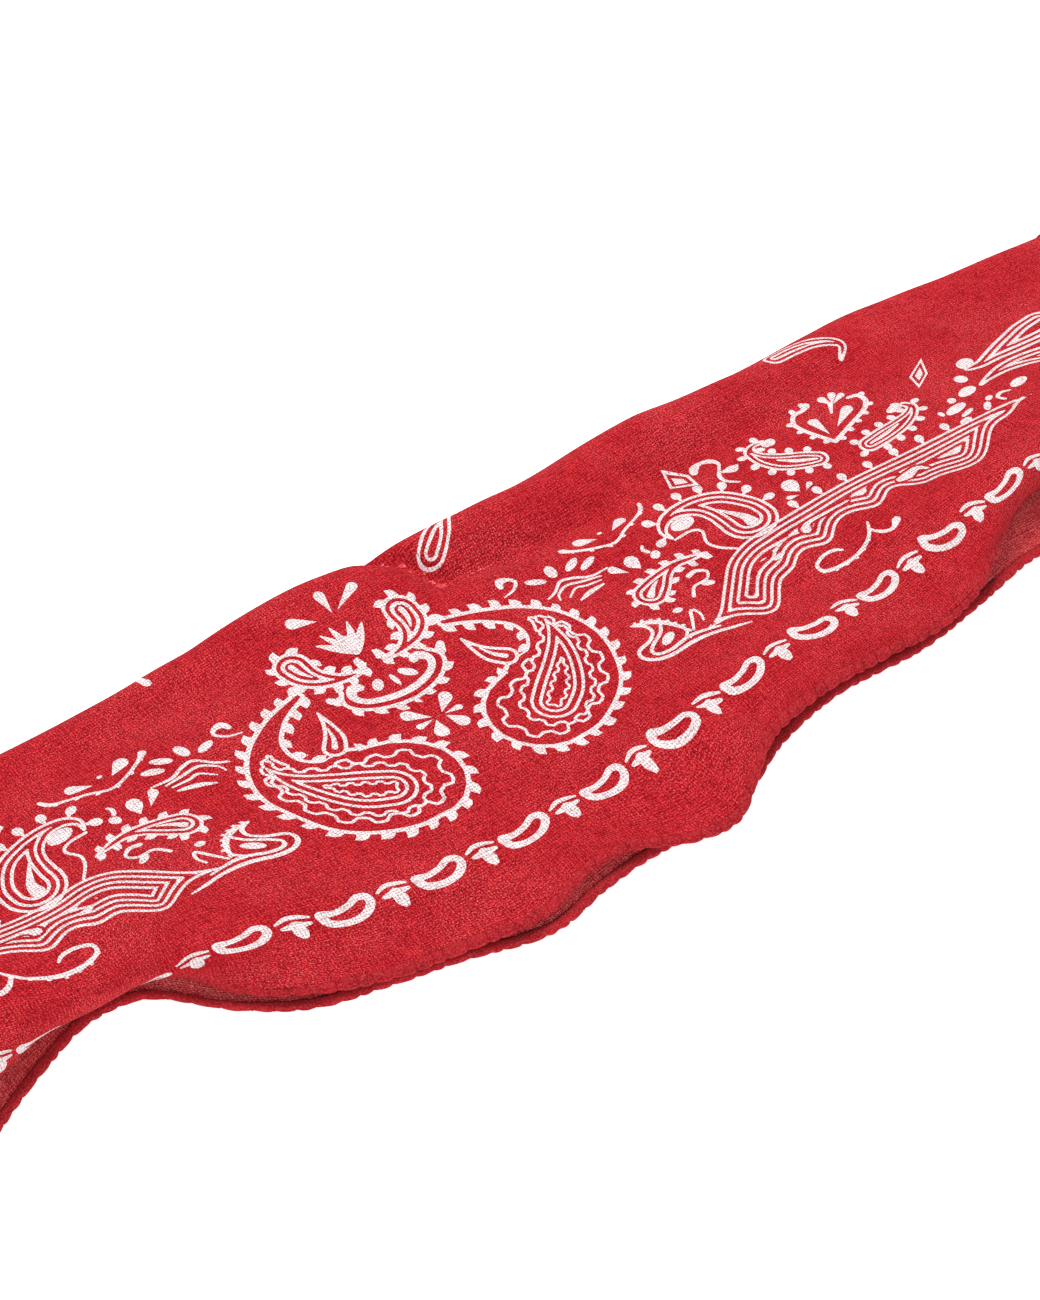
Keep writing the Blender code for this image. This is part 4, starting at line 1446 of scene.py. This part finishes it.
def nodeFor(tree, kind, links=None, **values):
    node = tree.nodes.new(kind)
    for name, value in values.items():
        setattr(node, name, value)
    for socket, source in (links or {}).items():
        if isinstance(source, bpy.types.NodeSocket):
            tree.links.new(source, node.inputs[socket])
        else:
            node.inputs[socket].default_value = source
    return node


def calculate(tree, operation, first, second=0.0):
    return nodeFor(tree, "ShaderNodeMath", {0: first, 1: second}, operation=operation).outputs[0]


def sumsIn(tree):
    # adding, subtracting and multiplying inside one finish
    return [partial(calculate, tree, operation) for operation in ("ADD", "SUBTRACT", "MULTIPLY")]


def rangeOf(tree, value, low, high, toLow=0.0, toHigh=1.0):
    links = {"Value": value, "From Min": low, "From Max": high, "To Min": toLow, "To Max": toHigh}
    return nodeFor(tree, "ShaderNodeMapRange", links).outputs[0]


def blendColours(tree, amount, first, second):
    node = nodeFor(tree, "ShaderNodeMix", data_type="RGBA")
    for name, value in (("Factor", amount), ("A", first), ("B", second)):
        socket = [s for s in node.inputs if s.name == name and (s.type == "RGBA" or name == "Factor")][0]
        if isinstance(value, bpy.types.NodeSocket):
            tree.links.new(value, socket)
        else:
            socket.default_value = value
    return [s for s in node.outputs if s.type == "RGBA"][0]


def noiseOf(tree, places, stretch, scale, detail=2.0):
    stretched = nodeFor(tree, "ShaderNodeMapping", {"Vector": places, "Scale": stretch}).outputs[0]
    links = {"Vector": stretched, "Scale": scale, "Detail": detail, "Roughness": noiseRoughness}
    return nodeFor(tree, "ShaderNodeTexNoise", links).outputs["Fac"]


def newFinish(name, settings):
    paint = bpy.data.materials.new(name)
    paint.use_nodes = True
    shader = paint.node_tree.nodes["Principled BSDF"]
    for socket, value in settings.items():
        shader.inputs[socket].default_value = value
    return paint, paint.node_tree, shader


def setFinish(tree, shader, colour, height, strength):
    tree.links.new(colour, shader.inputs["Base Color"])
    bump = nodeFor(tree, "ShaderNodeBump", {"Strength": strength, "Distance": bumpDepth, "Height": height})
    tree.links.new(bump.outputs[0], shader.inputs["Normal"])


def wovenThreads(tree, places):
    # plain weave: how light each thread is, with painted shade where it dips from its crest, where the gaps
    # are, the nap, and how high the surface stands
    plus, minus, times = sumsIn(tree)
    parts = nodeFor(tree, "ShaderNodeSeparateXYZ", {0: places})
    perThread = math.pi / (weave["pitch"] * millimetre)
    drift = times(minus(noiseOf(tree, places, evenly, weave["wanderPatches"]), 0.5), weave["wander"])
    turns = [plus(times(parts.outputs[k], perThread), drift) for k in (0, 1)]
    warp, weft = [calculate(tree, "COSINE", turn) for turn in turns]
    over = rangeOf(tree, times(warp, weft), -weave["softCrossing"], weave["softCrossing"])
    under = minus(1.0, over)
    warp, weft = [calculate(tree, "ABSOLUTE", thread) for thread in (warp, weft)]
    crest = plus(times(warp, over), times(weft, under))
    warpTone = noiseOf(tree, places, (1.0, weave["slubStretch"], 1.0), weave["slubPatches"])
    weftTone = noiseOf(tree, places, (weave["slubStretch"], 1.0, 1.0), weave["slubPatches"])
    slub = plus(times(warpTone, over), times(weftTone, under))
    gap = times(minus(1.0, warp), minus(1.0, weft))
    nap = noiseOf(tree, places, evenly, weave["napPatches"], detail=3.0)
    cloud = noiseOf(tree, places, evenly, weave["cloudPatches"], detail=4.0)
    light = times(rangeOf(tree, slub, *ranges["tone"], -1.0, 1.0), weave["slub"])
    # the crests of the threads are painted lighter and their dips darker: painted shade
    for name, value, span in (("crestShade", crest, (0.0, 1.0)), ("nap", nap, ranges["tone"]),
                              ("cloud", cloud, ranges["tone"])):
        light = plus(light, rangeOf(tree, value, *span, -weave[name], weave[name]))
    height = plus(times(crest, weave["crestHeight"]), times(nap, weave["napHeight"]))
    return light, gap, nap, height


def printMask(tree):
    # printed faces, and the lines that follow the outline of a frilled band
    plus, minus, times = sumsIn(tree)
    printed, depth = [nodeFor(tree, "ShaderNodeAttribute", attribute_name=name).outputs["Fac"]
                      for name in ("printed", "bandDepth")]
    halfLine, softEdge = bandLook["line"] / 2, bandLook["softEdge"]
    within = calculate(tree, "MODULO", depth, bandLook["spacing"])
    within = calculate(tree, "ABSOLUTE", minus(within, halfLine))
    line = rangeOf(tree, within, halfLine - softEdge, halfLine + softEdge, 1.0, 0.0)
    line = times(line, rangeOf(tree, depth, *ranges["inBand"]))
    allowed = plus(1.0, calculate(tree, "MINIMUM", printed, 0.0))
    return calculate(tree, "MAXIMUM", printed, times(line, allowed))


def clothFinish(name, look):
    paint, tree, shader = newFinish(name, softFabric)
    times = partial(calculate, tree, "MULTIPLY")
    places = nodeFor(tree, "ShaderNodeUVMap", uv_map="flatCloth").outputs["UV"]
    light, gap, nap, height = wovenThreads(tree, places)
    worn = noiseOf(tree, places, evenly, weave["wornPatches"])
    loose = rangeOf(tree, nap, *ranges["looseNap"], 0.0, look["fibres"])
    loose = times(loose, rangeOf(tree, worn, *ranges["worn"]))
    ground = blendColours(tree, rangeOf(tree, light, 0.0, 1.0), look["ground"], look["bright"])
    ground = blendColours(tree, rangeOf(tree, light, 0.0, -1.0), ground, look["deep"])
    ground = blendColours(tree, rangeOf(tree, gap, *ranges["gapShade"]), ground, look["deep"])
    ground = blendColours(tree, loose, ground, look["fibre"])
    ink = blendColours(tree, rangeOf(tree, light, *ranges["inkShade"]), look["ink"], look["inkShade"])
    cover = rangeOf(tree, gap, *ranges["gapInInk"], look["cover"], look["cover"] * inkInGap)
    cover = times(cover, rangeOf(tree, nap, *ranges["napInInk"]))
    colour = blendColours(tree, times(printMask(tree), cover), ground, ink)
    setFinish(tree, shader, colour, height, weave["bumpStrength"])
    return paint


def threadFinish(name, look):
    paint, tree, shader = newFinish(name, softFabric)
    places = nodeFor(tree, "ShaderNodeTexCoord").outputs["Object"]
    fibres = noiseOf(tree, places, evenly, look["fibrePatches"], detail=3.0)
    twist = noiseOf(tree, places, (look["twistStretch"], 1.0, 1.0), look["twistPatches"])
    cloud = noiseOf(tree, places, evenly, look["cloudPatches"], detail=3.0)
    colour = blendColours(tree, rangeOf(tree, cloud, *ranges["hemCloud"]), look["ground"], look["deep"])
    colour = blendColours(tree, rangeOf(tree, twist, *ranges["hemTwist"]), colour, look["deep"])
    fibreTone = rangeOf(tree, fibres, *ranges["hemFibre"], 0.0, look["fibres"])
    colour = blendColours(tree, fibreTone, colour, look["bright"])
    setFinish(tree, shader, colour, calculate(tree, "ADD", fibres, twist), look["bumpStrength"])
    return paint


cloth.data.materials.append(clothFinish("printed_cloth_red_and_white", printedLook))
# the wrong side's finish is paler red with painted light in it
cloth.data.materials.append(clothFinish("wrong_side_faded_red_with_painted_light", wrongLook))
hemFinish = threadFinish("rolled_hem_red", hemDye)
stitchFinish = threadFinish("hem_thread_red", threadDye)
for kind in hems:
    hems[kind].data.materials.append(hemFinish)
    stitches[kind].data.materials.append(stitchFinish)


# what each piece rides on, and the folded layers of the model that the cloth replaces are hidden
for piece in [cloth, *hems.values(), *stitches.values()]:
    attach(piece, "root")
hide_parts("top_leaf", "second_leaf", "folded_core", "folded_layers_left", "folded_layers_right")


# places and sizes in metres
print("studio")
studio = {
    "floorSide": 6.0,
    "floorColour": (0.93, 0.93, 0.93, 1.0),
    "floorGlow": 0.6,
    "floorPlace": -0.0002,  # just under the cloth
    "skyStrength": 0.36,
    "lightSize": 1.1,
    "keyPlace": (0.45, 0.9, 1.45),
    "keyPower": 35.0,
    "fillPlace": (-0.7, -1.4, 1.1),
    "fillPower": 23.0,
}


def makeFloor():
    side, height = studio["floorSide"] / 2, studio["floorPlace"]
    mesh = bpy.data.meshes.new("floor")
    corners = [(x * side, y * side, height) for x, y in ((-1, -1), (1, -1), (1, 1), (-1, 1))]
    mesh.from_pydata(corners, [], [(0, 1, 2, 3)])
    paint = newFinish("pale_floor", {
        "Base Color": studio["floorColour"],
        "Emission Color": studio["floorColour"],
        "Emission Strength": studio["floorGlow"],
        "Roughness": 0.9,
        "Specular IOR Level": 0.1,
    })[0]
    mesh.materials.append(paint)
    floor = addObject("floor", mesh)


def makeLight(name, place, power, size):
    data = bpy.data.lights.new(name, "AREA")
    data.shape = "DISK"
    data.size = size
    data.energy = power
    light = addObject(name, data)
    light.location = place
    pointAlong(light, -Vector(place))


makeFloor()
makeLight("key_light", studio["keyPlace"], studio["keyPower"], studio["lightSize"])
makeLight("fill_light", studio["fillPlace"], studio["fillPower"], studio["lightSize"])
world = bpy.data.worlds.new("studio")
bpy.context.scene.world = world
world.use_nodes = True
sky = world.node_tree.nodes["Background"].inputs
sky["Color"].default_value = (1.0, 1.0, 1.0, 1.0)
sky["Strength"].default_value = studio["skyStrength"]
bpy.context.scene.view_settings.view_transform = "Standard"

print("done")
